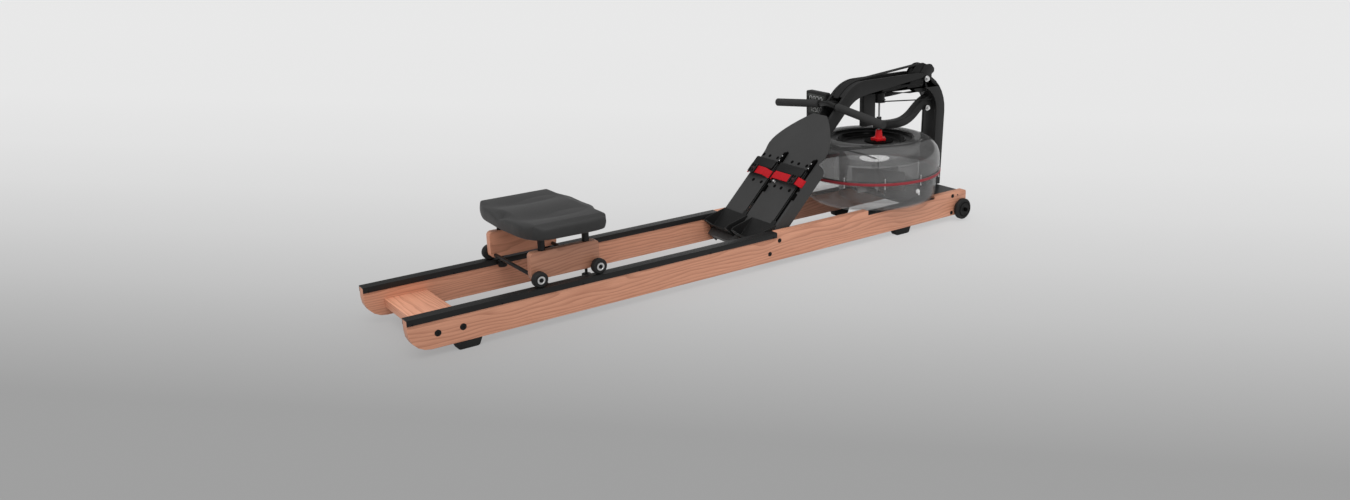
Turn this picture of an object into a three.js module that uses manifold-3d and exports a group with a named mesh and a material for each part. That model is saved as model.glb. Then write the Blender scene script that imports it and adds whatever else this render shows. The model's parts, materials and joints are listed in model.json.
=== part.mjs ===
// Water rowing machine: two wooden rails, rolling seat, footboard, water tank, arched frame, pull handle.
// Millimetres, +Z up, +X from the tail towards the tank, -Y is the near side.
// Origin: centre of the footprint, on the floor.
import * as THREE from 'three';
import { mergeVertices } from 'three/addons/utils/BufferGeometryUtils.js';
import Module from 'manifold-3d';

const wasm = await Module();
wasm.setup();

// Clearances shared by all pieces
const fitGap = 0.3;
const runGap = 0.3;
const boreGap = 0.3;
const overrun = 5;
const samePoint = 0.001;

// Facets
const roundSides = 20;
const smallSides = 12;
const nutSides = 6;
const tankSides = 40;
const tankSteps = 4;
const cornerSteps = 3;
const filletSteps = 5;
const bendSteps = 9;
const pulleySteps = 12;
const holeSteps = 3;
const stripCorners = 4;

// Rails and tracks
const railLength = 2050;
const railThick = 26;
const railOuterY = 172;
const railTop = 114;
const railBottom = 22;
const railTailRadius = 60;
const railNoseRadius = 8;
const trackLength = 1181;
const trackTopThick = 3;
const trackSideThick = 2.5;
const trackFlange = 16.6;
const recessFloor = 98;
const recessTail = 1572;
const recessNose = 1890;
const railNoseTop = 107;

// Feet under the rails
const footHeight = 21.7;
const footCornerRadius = 9;
const rearFootStart = 121;
const rearFootLength = 75;
const frontFootStart = 1698;
const frontFootLength = 76;
const footTaper = 9;

// Wooden board across the tail
const crossboardStart = 56;
const crossboardLength = 120;
const crossboardTop = 70;
const crossboardThick = 25;

// Steel tray that carries the tank and the front leg of the arch
const trayThick = 3;
const trayTail = 1575;
const trayDeckTail = 1762;
const trayWingLap = 12;
const trayWingNose = 1887;
const trayNose = 2044;
const trayCheekTail = 1955;
const trayCheekBottom = 27;

// Footboard: a folded steel plate that leans back from the rails
const boardX = 1203.6;
const boardZ = 120;
const boardAngle = THREE.MathUtils.degToRad(45.18);
const boardThick = 4;
const boardHalfWidth = 139;
const boardShoulderHalfWidth = 146;
const boardFoot = -100;
const boardShoulderStart = 240;
const boardShoulder = 282;
const boardCrown = 428;
const boardCrownHalfWidth = 34;
const shoulderReachShare = 0.333;
const boardFlangeDepth = 45;
const boardLipDepth = 22;
const boardFlangeThick = 3;
const boardFlangeTop = 250;
const slotWidth = 12;
const farSlotY = 30;
const nearSlotY = -120;
const slotStart = -22;
const slotEnd = 266;
const holeRadius = 4;
const upperHoleRow = 233;
const lowerHoleRow = 133;
const upperHoleYs = [131, 99, 57, -20, -54, -95];
const lowerHoleYs = [100, 57, -15, -49, -92];
const bossRadius = 10;
const upperBossS = -32;
const lowerBossS = -86;
const bossDepth = 16;

// Toe plates, straps and buckles on the footboard
const toePlateStart = 184;
const toePlateLength = 34;
const toePlateHeight = 9;
const toePlateRadius = 6;
const farToeInner = 42;
const farToeOuter = 146;
const nearToeInner = 18;
const nearToeOuter = -108;
const strapStart = 152;
const strapWidth = 28;
const strapThick = 2.5;
const strapRise = 16;
const strapRamp = 16;
const strapFootLength = 6;
const farStrapInner = 35;
const farStrapOuter = 152;
const nearStrapInner = 25;
const nearStrapOuter = -138;
const buckleWidth = 30;
const buckleLength = 36;
const buckleHeight = 6;
const buckleWindow = 7;
const buckleBar = 4;
const farBuckleY = 112;
const nearBuckleY = -98;

// Heel rests that slide up the footboard
const heelStart = -77;
const heelLength = 81;
const heelHalfWidth = 62.5;
const heelFloorThick = 4;
const heelWallThick = 4;
const heelWallHeight = 46;
const heelRim = 12;
const heelDip = 26;
const heelTabStart = -16;
const heelTabLength = 34;
const heelTongueWidth = 18;
const farHeelY = 75;
const nearHeelY = -76;

// Arched frame: two side plates with a core between them
const archOuterY = 36;
const archPlateThick = 10;
const archTop = 524;
const archWindowTop = 473.8;
const frontLegFoot = 2057;
const frontLegTop = 2078;
const frontLegFootInner = 2015.5;
const frontLegTopInner = 2031.5;
const frontBendRadius = 145;
const frontBendInnerRadius = 92;
const rearBendRadius = 135;
const rearBendInnerRadius = 128;
const rearLegOuterOffset = 15.3;
const rearLegInnerOffset = 59.6;
const rearLegPadTop = 55;
const rearLegFoot = -62;
const coreThick = 4;
const coreFootLength = 34;
const coreWindowDepth = 20;
const coreWindowTail = 1775;
const coreWindowNose = 2001;
const coreWindowHalfWidth = 19;
const shoeThick = 4;
const shoeRibTail = 1655;
const shoeRibThick = 8;

// Pulley, its bracket and the bolts of the arch
const pulleyX = 1968;
const pulleyZ = 501;
const pulleyRadius = 47;
const pulleyRimRadius = 52.5;
const pulleyWidth = 30;
const pulleyRimThick = 2.5;
const bracketEarThick = 4;
const bracketEarRadius = 13;
const humpX = 1996;
const humpZ = 533;
const humpRadius = 15;
const crossBarX = 2022;
const crossBarZ = 525;
const crossBarRadius = 6;
const loopX = 2028;
const loopZ = 532;
const loopRadius = 9;
const loopWire = 2.2;
const lowerBoltX = 1992;
const lowerBoltZ = 391;
const boltRadius = 5;
const boltHeadRadius = 9;
const boltHeadThick = 6;

// Water tank
const tankX = 1740;
const tankRadius = 240.5;
const dishRadius = 229.5;
const tankWall = 4;
const tankBottomRadius = 35;
const tankFlangeRadius = 243.5;
const tankFlangeThick = 3;
const gasketRadius = 245;
const gasketThick = 9;
const gasketZ = 203;
const shoulderZ = 252;
const shoulderRadius = 69.5;
const bowlRadius = 150;
const bowlZ = 290;
const bowlLip = 9;
const dipRadius = 154.5;
const lidThick = 6;
const lidRimTop = 317;
const lidRimThick = 6;
const lidStepTop = 309;
const lidRidgeHeight = 3;
const lidRidgeRadii = [121, 98];
const lidHubRadius = 51;
const lidHubHeight = 3;
const lidSkirtDepth = 5;
const lidSkirtRadius = 137;
const innerTankRadius = 140;
const innerTankWall = 3;
const innerTankTop = 262;
const waterLevel = 215;

// Impeller and its shaft, which stands off the middle of the tank towards the nose
const shaftX = 1777;
const shaftRadius = 3.5;
const shaftTop = 470;
const paddleHubRadius = 16;
const paddleRadius = 98;
const paddleHeight = 70;
const paddleThick = 4;
const paddleCount = 6;
const paddleFloor = 16;

// Level knob
const knobRadius = 28;
const knobHubRadius = 11.5;
const knobHeight = 38;
const knobPlateHeight = 9;
const knobLobes = 5;
const knobLobeRadius = 6.5;
const knobDraft = 3;

// Bearing arm that holds the shaft above the tank
const armThick = 27;
const armHalfWidth = 15.5;
const armEndX = 2029.5;
const armEndZ = 425;
const armLowZ = 348.5;
// Middle line from the shaft to the front leg, as shares of the way and of the rise
const armPathShares = [[-0.055, 0.111], [0.11, 0.0327], [0.2947, 0], [0.4637, 0.0523], [0.609, 0.268],
  [0.7348, 0.595], [0.8605, 0.856], [1, 1]];
const bearingRadius = 9;
const bearingHeight = 17;

// Drive spool, post under the arch and bungee
const spoolRadius = 19;
const spoolRimRadius = 22.5;
const spoolBottom = 434;
const spoolTop = 468;
const spoolRimThick = 2;
const spoolGroove = 6;
const spoolFenceThick = 1.2;
const bungeeRadius = 2.2;
const bungeeZ = 439;
const bungeeEndX = 2018;
const bungeeEndZ = 419;
const bungeeSides = 8;
const postTail = 1694;
const postNose = 1748;
const postFoot = 358;
const postHalfWidth = 11;

// Belt
const beltWidth = 22;
const beltThick = 2.4;
const beltProud = 1.2;

// Seat carriage
const wheelRadius = 22;
const wheelInnerY = 148.5;
const wheelWidth = 20.5;
const wheelChamfer = 3;
const rearWheelX = 374.8;
const frontWheelX = 556.6;
const axleRadius = 5.5;
const axleEndRadius = 4;
const panelOuterY = 140;
const panelThick = 22;
const panelTail = 361;
const panelNose = 570;
const panelBottom = 129.5;
const panelTop = 206.5;
const panelRadius = 12;
const rollerRadius = 13;
const rollerHeight = 17;
const rollerBottom = 94.5;
const rollerChamfer = 1.5;
const rollerPinRadius = 4;
const rollerPinDepth = 12;
const rollerInset = 25;
const seatPostRadius = 10;
const rearPostX = 400;
const frontPostX = 535;
const seatPlateThick = 4;
const seatPlateTail = 380;
const seatPlateNose = 560;
const seatPlateHalfWidth = 142;
const seatPlateBottom = 242.5;

// Seat pad
const padTail = 336;
const padLength = 266;
const padHalfWidth = 194;
const padMiddleX = 465;
const padSideHeight = 37;
const padTuck = 12;
const padCrown = 6;
const padLobeY = 92;
const padLobeSpread = 58;
const padChannelHalfWidth = 24;
const padChannelDepth = 11;
const padHollowDepth = 6;
const padHollowX = 430;
const padHollowSpread = 56;
const padSides = 48;
// Outline from the tail's middle round to the nose's middle, as shares of length and half width
const padOutlineShares = [[0, 0], [0.01, 0.34], [0.028, 0.65], [0.1, 0.87], [0.22, 0.965], [0.48, 0.99],
  [0.77, 1], [0.885, 0.97], [0.925, 0.84], [0.915, 0.64], [0.95, 0.5], [0.99, 0.34], [1, 0.14]];
// Pad section from the middle of the base round the edge to the middle of the top: way out, side height
const padSectionShares = [[0, 0], [0.95, 0], [0.98, 0.14], [1, 0.55], [0.998, 0.84], [0.975, 0.975],
  [0.92, 1], [0.8, 1], [0.66, 1], [0.5, 1], [0.33, 1], [0.16, 1], [0, 1]];

// Handle
const handleX = 1541;
const handleZ = 456;
const handleEndZ = 424.5;
const handleHalfLength = 271;
const handleBarRadius = 7;
const handleHubRadius = 9.75;
const handleHubHalf = 40;
const gripRadius = 13.5;
const gripInner = 46;
const gripEnd = 6;
const clipWidth = 26;
const clipLength = 20;
const clipHeight = 13;

// Monitor
const monitorX = 1566;
const monitorDepth = 20;
const monitorInnerY = 40;
const monitorWidth = 104;
const monitorBottom = 383;
const monitorHeight = 99;
const monitorRadius = 7;
const screenMargin = 9;
const screenDepth = 2;
const screenBottomMargin = 22;
const monitorRodRadius = 5;
const monitorRodZ = 447;
const monitorClipWall = 4;
const monitorRodShare = 0.75;
const monitorClipShares = [0.25, 0.5];
const buttonShares = [0.25, 0.67];
const buttonWidth = 12;
const buttonHeight = 7;
const buttonDepth = 5;
const buttonProud = 1.6;
const buttonGap = 0.5;

// Transport wheels
const transportX = 2021.8;
const transportZ = 42.8;
const transportRadius = 37.3;
const transportWidth = 16;
const transportStandOff = 3.5;
const transportHubRadius = 9;
const transportHubProud = 4;
const transportPinRadius = 5;
const transportPinDepth = 18;

const finishes = {
  ash: new THREE.MeshStandardMaterial({ color: 0xc48f73, roughness: 0.55, metalness: 0 }),
  blackMetal: new THREE.MeshStandardMaterial({ color: 0x2b2b2c, roughness: 0.5, metalness: 0.3 }),
  blackPlastic: new THREE.MeshStandardMaterial({ color: 0x1c1c1d, roughness: 0.45, metalness: 0 }),
  boardGrey: new THREE.MeshStandardMaterial({ color: 0x434343, roughness: 0.6, metalness: 0.1 }),
  rubber: new THREE.MeshStandardMaterial({ color: 0x262626, roughness: 0.85, metalness: 0 }),
  foam: new THREE.MeshStandardMaterial({ color: 0x323232, roughness: 0.9, metalness: 0 }),
  leatherette: new THREE.MeshStandardMaterial({ color: 0x404041, roughness: 0.6, metalness: 0 }),
  clear: new THREE.MeshStandardMaterial({ color: 0xa9adb0, roughness: 0.1, metalness: 0 }),
  water: new THREE.MeshStandardMaterial({ color: 0x8fa3ad, roughness: 0.05, metalness: 0 }),
  gasket: new THREE.MeshStandardMaterial({ color: 0x9a3540, roughness: 0.6, metalness: 0 }),
  red: new THREE.MeshStandardMaterial({ color: 0xd8202c, roughness: 0.5, metalness: 0 }),
  steel: new THREE.MeshStandardMaterial({ color: 0xb5b7b9, roughness: 0.3, metalness: 0.9 }),
  glass: new THREE.MeshStandardMaterial({ color: 0x8a9088, roughness: 0.2, metalness: 0 }),
};

// Closed mesh to solid, with its faces turned outwards
function solidOf(source) {
  const bare = source.clone();
  for (const name of Object.keys(bare.attributes)) {
    if (name !== 'position') bare.deleteAttribute(name);
  }
  const merged = mergeVertices(bare);
  const from = merged.index.array;
  const kept = [];
  for (let i = 0; i < from.length; i += 3) {
    const [a, b, c] = [from[i], from[i + 1], from[i + 2]];
    if (a !== b && b !== c && a !== c) kept.push(a, b, c);
  }
  const vertProperties = new Float32Array(merged.attributes.position.array);
  const make = (order) => new wasm.Manifold(
    new wasm.Mesh({ numProp: 3, vertProperties, triVerts: new Uint32Array(order) }));
  const solid = make(kept);
  if (solid.volume() > 0) return solid;
  const turned = [];
  for (let i = 0; i < kept.length; i += 3) turned.push(kept[i], kept[i + 2], kept[i + 1]);
  return make(turned);
}

function geometryOf(solid) {
  const mesh = solid.getMesh();
  const geometry = new THREE.BufferGeometry();
  geometry.setAttribute('position', new THREE.BufferAttribute(Float32Array.from(mesh.vertProperties), 3));
  geometry.setIndex(Array.from(mesh.triVerts));
  geometry.computeVertexNormals();
  return geometry;
}

const join = (...solids) => solids.reduce((sum, next) => sum.add(next));
const cut = (body, ...tools) => tools.reduce((rest, tool) => rest.subtract(tool), body);

// Box between two corners
function block(x0, x1, y0, y1, z0, z1) {
  const box = new THREE.BoxGeometry(x1 - x0, y1 - y0, z1 - z0);
  box.translate((x0 + x1) / 2, (y0 + y1) / 2, (z0 + z1) / 2);
  return solidOf(box);
}

// Round bar between two points
function bar(radius, from, to, sides = roundSides) {
  const a = new THREE.Vector3(...from);
  const b = new THREE.Vector3(...to);
  const rod = new THREE.CylinderGeometry(radius, radius, a.distanceTo(b), sides);
  const up = new THREE.Vector3(0, 1, 0);
  rod.applyQuaternion(new THREE.Quaternion().setFromUnitVectors(up, b.clone().sub(a).normalize()));
  rod.translate(...a.add(b).divideScalar(2).toArray());
  return solidOf(rod);
}

// Turned piece about the vertical line at x, y; the profile is [radius, height] pairs
function turned(profile, x, y, sides = roundSides) {
  const points = profile.map(([radius, height]) => new THREE.Vector2(radius, height));
  const lathe = new THREE.LatheGeometry([...points, points[0]], sides);
  lathe.rotateX(Math.PI / 2);
  lathe.translate(x, y, 0);
  return solidOf(lathe);
}

// Turned piece about a line along Y through x, z; the profile is [radius, y] pairs
function turnedY(profile, x, z, sides = roundSides) {
  const points = profile.map(([radius, y]) => new THREE.Vector2(radius, y));
  const lathe = new THREE.LatheGeometry([...points, points[0]], sides);
  lathe.translate(x, 0, z);
  return solidOf(lathe);
}

// Corners as [a, b, radius]; round corners become short arcs
function rounded(corners, steps = filletSteps) {
  const points = [];
  corners.forEach(([x, z, radius = 0], i) => {
    const here = new THREE.Vector2(x, z);
    if (radius === 0) {
      points.push(here);
      return;
    }
    const before = new THREE.Vector2(...corners[(i + corners.length - 1) % corners.length].slice(0, 2));
    const after = new THREE.Vector2(...corners[(i + 1) % corners.length].slice(0, 2));
    const toBefore = before.sub(here).normalize();
    const toAfter = after.sub(here).normalize();
    const half = Math.acos(toBefore.dot(toAfter)) / 2;
    const start = here.clone().addScaledVector(toBefore, radius / Math.tan(half));
    const end = here.clone().addScaledVector(toAfter, radius / Math.tan(half));
    const middle = toBefore.clone().add(toAfter).normalize();
    const centre = here.clone().addScaledVector(middle, radius / Math.sin(half));
    const from = start.clone().sub(centre);
    const turn = Math.atan2(from.cross(end.clone().sub(centre)), from.dot(end.clone().sub(centre)));
    for (let k = 0; k <= steps; k += 1) {
      points.push(from.clone().rotateAround(new THREE.Vector2(), turn * k / steps).add(centre));
    }
  });
  return points;
}

// Closed loop without repeated points
function loopOf(points) {
  return points.filter((point, i) => point.distanceTo(points[(i + 1) % points.length]) > samePoint);
}

// Flat outline swept square to its own plane, from depth a to depth b
function slab(outline, a, b, holes = []) {
  const shape = new THREE.Shape(loopOf(outline));
  shape.holes = holes.map((hole) => new THREE.Path(loopOf(hole)));
  const geometry = new THREE.ExtrudeGeometry(shape, { depth: b - a, bevelEnabled: false });
  geometry.translate(0, 0, a);
  return geometry;
}

// Outline in X and Z, between two Y values
function sideSlab(outline, y0, y1, holes = []) {
  const geometry = slab(outline, -y1, -y0, holes);
  geometry.rotateX(Math.PI / 2);
  return solidOf(geometry);
}

// Strip of even thickness on a line of points
function strip(line, thick) {
  const side = (sign) => line.map((point, i) => {
    const ahead = line[Math.min(i + 1, line.length - 1)];
    const behind = line[Math.max(i - 1, 0)];
    const along = ahead.clone().sub(behind).normalize();
    return point.clone().add(new THREE.Vector2(-along.y, along.x).multiplyScalar(sign * thick / 2));
  });
  return [...side(1), ...side(-1).reverse()];
}

// Footboard frame: s runs up the board, y across it, h stands off its face
const boardUp = new THREE.Vector3(Math.cos(boardAngle), 0, Math.sin(boardAngle));
const boardOut = new THREE.Vector3(-Math.sin(boardAngle), 0, Math.cos(boardAngle));
const boardMatrix = new THREE.Matrix4()
  .makeBasis(boardUp, new THREE.Vector3(0, 1, 0), boardOut)
  .setPosition(boardX, 0, boardZ);

function onBoard(geometry) {
  return solidOf(geometry.applyMatrix4(boardMatrix));
}

function boardPoint(s, h) {
  const point = new THREE.Vector3(s, 0, h).applyMatrix4(boardMatrix);
  return [point.x, point.z];
}

// Box in the footboard's frame
function boardBlock(s0, s1, y0, y1, h0, h1) {
  const box = new THREE.BoxGeometry(s1 - s0, y1 - y0, h1 - h0);
  box.translate((s0 + s1) / 2, (y0 + y1) / 2, (h0 + h1) / 2);
  return onBoard(box);
}

// Outline in s and y, between two h values
const boardSlab = (outline, h0, h1, holes = []) => onBoard(slab(outline, h0, h1, holes));

// Outline in y and h, between two s values
function boardBand(outline, s0, s1) {
  const geometry = slab(outline, s0, s1);
  const turn = new THREE.Matrix4().makeBasis(
    new THREE.Vector3(0, 1, 0), new THREE.Vector3(0, 0, 1), new THREE.Vector3(1, 0, 0));
  return onBoard(geometry.applyMatrix4(turn));
}

const machine = new THREE.Group();

function add(name, solid, finish) {
  const mesh = new THREE.Mesh(geometryOf(solid), finish);
  mesh.name = name;
  machine.add(mesh);
}

// The two sides of the machine: near is -Y
const sides = [['near', -1], ['far', 1]];
const span = (sign, inner, outer) => (sign > 0 ? [inner, outer] : [-outer, -inner]);

// Rails, tracks and feet
const railInnerY = railOuterY - railThick;
const tankBottom = recessFloor + trayThick + fitGap;

function tankOutline(spare) {
  const points = [[0, tankBottom - spare]];
  const low = dishRadius - tankBottomRadius;
  for (let k = 0; k <= tankSteps; k += 1) {
    const turn = Math.PI / 2 * k / tankSteps;
    points.push([
      low + (tankBottomRadius + spare) * Math.sin(turn),
      tankBottom + tankBottomRadius - (tankBottomRadius + spare) * Math.cos(turn),
    ]);
  }
  return points;
}

const railOutline = rounded([
  [0, railTop], [0, railBottom, railTailRadius], [railLength, railBottom],
  [railLength, railNoseTop, railNoseRadius],
  [recessNose, railNoseTop], [recessNose, railTop],
]);
const tankSweep = (spare) => turned([...tankOutline(spare), [dishRadius + spare, railTop + overrun],
  [0, railTop + overrun]], tankX, 0, tankSides);

const feet = [['rear', rearFootStart, rearFootLength], ['front', frontFootStart, frontFootLength]];

for (const [side, sign] of sides) {
  const [y0, y1] = span(sign, railInnerY, railOuterY);
  const cover = trackTopThick + fitGap;
  let rail = sideSlab(railOutline, y0, y1);
  const wide = [y0 - overrun, y1 + overrun];
  rail = cut(rail,
    block(-overrun, trackLength, ...wide, railTop - cover, railTop + overrun),
    block(recessTail, recessNose, ...wide, recessFloor - fitGap, railTop + overrun),
    tankSweep(trayThick),
    bar(transportPinRadius + boreGap, [transportX, sign * (railOuterY + overrun), transportZ],
      [transportX, sign * (railOuterY - transportPinDepth - fitGap), transportZ], smallSides));
  add(`rail_${side}`, rail, finishes.ash);

  const outer = [y0 - fitGap - trackSideThick, y1 + fitGap + trackSideThick];
  const track = cut(block(0, trackLength - fitGap, ...outer, railTop - trackFlange, railTop),
    block(-overrun, railLength, y0 - fitGap, y1 + fitGap,
      railTop - trackFlange - overrun, railTop - trackTopThick));
  add(`track_${side}`, track, finishes.blackMetal);

  for (const [end, start, length] of feet) {
    const outline = rounded([
      [start, footHeight], [start + footTaper, 0, footCornerRadius],
      [start + length - footTaper, 0, footCornerRadius], [start + length, footHeight],
    ]);
    add(`foot_${end}_${side}`, sideSlab(outline, y0, y1), finishes.rubber);
  }
}

add('rear_crossboard', block(crossboardStart, crossboardStart + crossboardLength,
  -(railInnerY - fitGap), railInnerY - fitGap, crossboardTop - crossboardThick, crossboardTop), finishes.ash);

// Tray between the rails, with wings on the rail recesses and cheeks at the front
const trayHalf = railInnerY - fitGap;
const trayTop = recessFloor + trayThick;
add('base_tray', cut(join(
  block(trayDeckTail, trayNose, -trayHalf, trayHalf, recessFloor, trayTop),
  ...sides.map(([, sign]) => block(trayTail, trayWingNose,
    ...span(sign, trayHalf - trayWingLap, railOuterY), recessFloor, trayTop)),
  block(trayCheekTail, trayNose, -trayHalf, trayThick - trayHalf, trayCheekBottom, trayTop),
  block(trayCheekTail, trayNose, trayHalf - trayThick, trayHalf, trayCheekBottom, trayTop),
  block(trayNose - trayThick, trayNose, -trayHalf, trayHalf, trayCheekBottom, trayTop),
), tankSweep(fitGap)), finishes.blackMetal);

// Footboard
function boardOutline() {
  const start = new THREE.Vector2(boardShoulderStart, boardHalfWidth);
  const shoulder = new THREE.Vector2(boardShoulder, boardShoulderHalfWidth);
  const crown = new THREE.Vector2(boardCrown, boardCrownHalfWidth);
  const reach = (boardCrown - boardShoulder) * shoulderReachShare;
  const edge = [
    new THREE.Vector2(boardFoot, boardHalfWidth),
    ...new THREE.CubicBezierCurve(start,
      new THREE.Vector2(boardShoulderStart + reach * shoulderReachShare, boardHalfWidth),
      new THREE.Vector2(boardShoulder - reach * shoulderReachShare, boardShoulderHalfWidth), shoulder)
      .getPoints(filletSteps),
    ...new THREE.CubicBezierCurve(shoulder, new THREE.Vector2(boardShoulder + reach, boardShoulderHalfWidth),
      new THREE.Vector2(boardCrown - reach / 2, boardCrownHalfWidth * 2), crown)
      .getPoints(bendSteps + 1).slice(1),
  ];
  return [...edge, ...edge.map((point) => new THREE.Vector2(point.x, -point.y)).reverse()];
}

function slotHole(y) {
  const half = slotWidth / 2;
  return rounded([[slotStart, y - half, half], [slotEnd, y - half, half],
    [slotEnd, y + half, half], [slotStart, y + half, half]], cornerSteps);
}

function roundHole(s, y) {
  return new THREE.Path().absarc(s, y, holeRadius, 0, Math.PI * 2).getPoints(holeSteps);
}

const boardHoles = [slotHole(farSlotY), slotHole(nearSlotY),
  ...upperHoleYs.map((y) => roundHole(upperHoleRow, y)),
  ...lowerHoleYs.map((y) => roundHole(lowerHoleRow, y))];
const boardParts = [boardSlab(boardOutline(), -boardThick, 0, boardHoles)];
for (const [, sign] of sides) {
  const flange = rounded([[boardFoot, 0], [boardFlangeTop, 0],
    [boardFlangeTop, -boardFlangeDepth, boardFlangeDepth / 2], [boardFoot, -boardFlangeDepth]]);
  const geometry = slab(flange, 0, boardFlangeThick);
  geometry.rotateX(Math.PI / 2);
  geometry.translate(0, sign > 0 ? boardHalfWidth : boardFlangeThick - boardHalfWidth, 0);
  boardParts.push(onBoard(geometry));
  for (const s of [upperBossS, lowerBossS]) {
    const [x, z] = boardPoint(s, -bossDepth);
    boardParts.push(bar(bossRadius, [x, sign * (boardHalfWidth - boardFlangeThick), z],
      [x, sign * (railInnerY - fitGap), z], smallSides));
  }
}
boardParts.push(boardBlock(boardFoot, boardFoot + boardFlangeThick,
  -boardHalfWidth, boardHalfWidth, -boardLipDepth, 0));
const trackClearance = trackSideThick + fitGap + fitGap;
const trackKeepOut = [-1, 1].map((sign) => block(0, trackLength,
  ...span(sign, railInnerY - trackClearance, railOuterY), railTop - trackFlange - fitGap, railTop + overrun));
add('footboard', cut(join(...boardParts), ...trackKeepOut), finishes.boardGrey);

// Toe plates, straps, buckles and heel rests
const toePlates = { near: [nearToeOuter, nearToeInner], far: [farToeInner, farToeOuter] };
const strapSpans = { near: [nearStrapOuter, nearStrapInner], far: [farStrapInner, farStrapOuter] };
const buckleYs = { near: nearBuckleY, far: farBuckleY };
const heelYs = { near: nearHeelY, far: farHeelY };
const slotYs = { near: nearSlotY, far: farSlotY };

for (const [side] of sides) {
  const [toeLow, toeHigh] = toePlates[side];
  add(`toe_plate_${side}`, boardSlab(rounded([
    [toePlateStart, toeLow, toePlateRadius], [toePlateStart + toePlateLength, toeLow, toePlateRadius],
    [toePlateStart + toePlateLength, toeHigh, toePlateRadius], [toePlateStart, toeHigh, toePlateRadius],
  ], cornerSteps), fitGap, toePlateHeight), finishes.blackPlastic);

  const [low, high] = strapSpans[side];
  const base = fitGap + strapThick / 2;
  const line = [[low, base], [low + strapFootLength, base], [low + strapFootLength + strapRamp, strapRise],
    [high - strapFootLength - strapRamp, strapRise], [high - strapFootLength, base], [high, base]]
    .map(([y, h]) => new THREE.Vector2(y, h));
  add(`strap_${side}`, boardBand(strip(line, strapThick), strapStart, strapStart + strapWidth), finishes.red);

  const buckleY = buckleYs[side];
  const buckleS = strapStart + (strapWidth - buckleLength) / 2;
  const buckleFloor = strapRise + strapThick / 2 + fitGap;
  const frame = rounded([
    [buckleS, buckleY - buckleWidth / 2, buckleBar],
    [buckleS + buckleLength, buckleY - buckleWidth / 2, buckleBar],
    [buckleS + buckleLength, buckleY + buckleWidth / 2, buckleBar],
    [buckleS, buckleY + buckleWidth / 2, buckleBar],
  ], cornerSteps);
  const windows = [-1, 1].map((sign) => {
    const inner = buckleY + sign * buckleBar / 2;
    const outer = inner + sign * buckleWindow;
    const [a, b] = [Math.min(inner, outer), Math.max(inner, outer)];
    return [[buckleS + buckleBar, a], [buckleS + buckleLength - buckleBar, a],
      [buckleS + buckleLength - buckleBar, b], [buckleS + buckleBar, b],
    ].map(([s, y]) => new THREE.Vector2(s, y));
  });
  add(`buckle_${side}`, boardSlab(frame, buckleFloor, buckleFloor + buckleHeight, windows),
    finishes.blackPlastic);

  const heelY = heelYs[side];
  const [heelLow, heelHigh] = [heelY - heelHalfWidth, heelY + heelHalfWidth];
  const heelEnd = heelStart + heelLength;
  const tabEnd = heelTabStart + heelTabLength;
  const cheek = [[heelStart, fitGap], [heelEnd, fitGap], [heelEnd, heelFloorThick + fitGap],
    [heelStart + heelRim, heelWallHeight], [heelStart, heelWallHeight]];
  const cheeks = [heelLow, heelHigh - heelWallThick].map((y) => {
    const geometry = slab(cheek.map(([s, h]) => new THREE.Vector2(s, h)), 0, heelWallThick);
    geometry.rotateX(Math.PI / 2);
    geometry.translate(0, y + heelWallThick, 0);
    return onBoard(geometry);
  });
  const backRim = rounded([[heelLow, fitGap], [heelHigh, fitGap], [heelHigh, heelWallHeight],
    [heelHigh - heelRim, heelWallHeight, heelRim], [heelHigh - heelRim * 2, heelDip, heelRim],
    [heelLow + heelRim * 2, heelDip, heelRim], [heelLow + heelRim, heelWallHeight, heelRim],
    [heelLow, heelWallHeight]], cornerSteps);
  add(`heel_rest_${side}`, join(
    boardBlock(heelStart, heelEnd, heelLow, heelHigh, fitGap, heelFloorThick + fitGap),
    boardBand(backRim, heelStart, heelStart + heelWallThick),
    boardBlock(heelTabStart, tabEnd, slotYs[side] - slotWidth / 2 + runGap,
      slotYs[side] + slotWidth / 2 - runGap, -boardThick, heelFloorThick + fitGap),
    boardBlock(heelTabStart, tabEnd, slotYs[side] - heelTongueWidth / 2,
      slotYs[side] + heelTongueWidth / 2, fitGap, heelFloorThick + fitGap),
    ...cheeks), finishes.blackPlastic);
}

// Arch side plates
// X where a line at offset h behind the footboard reaches height z
function legX(h, z) {
  const [x, low] = boardPoint(0, -h);
  return x + (z - low) / Math.tan(boardAngle);
}

const padOffset = boardThick + fitGap;
const deckTop = trayTop + fitGap;
const outerEdge = [
  [frontLegFoot, deckTop],
  [frontLegTop, archTop, frontBendRadius],
  [legX(rearLegOuterOffset, archTop), archTop, rearBendRadius],
  boardPoint(rearLegPadTop, -rearLegOuterOffset),
  boardPoint(rearLegPadTop, -padOffset),
  boardPoint(rearLegFoot, -padOffset),
];
const innerEdge = [
  boardPoint(rearLegFoot, -rearLegInnerOffset),
  [legX(rearLegInnerOffset, archWindowTop), archWindowTop, rearBendInnerRadius],
  [frontLegTopInner, archWindowTop, frontBendInnerRadius],
  [frontLegFootInner, deckTop],
];
const archOutline = rounded([...outerEdge, ...innerEdge], bendSteps);

// Where a fillet of the given radius is centred, under the line z = top and beside the rear leg
function rearBendCentre(radius) {
  const corner = legX(rearLegOuterOffset, archTop);
  return new THREE.Vector2(corner + radius * Math.tan(boardAngle / 2), archTop - radius);
}

const bendCentre = rearBendCentre(rearBendRadius);
const rodX = legX((rearLegOuterOffset + rearLegInnerOffset) / 2, monitorRodZ);

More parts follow.
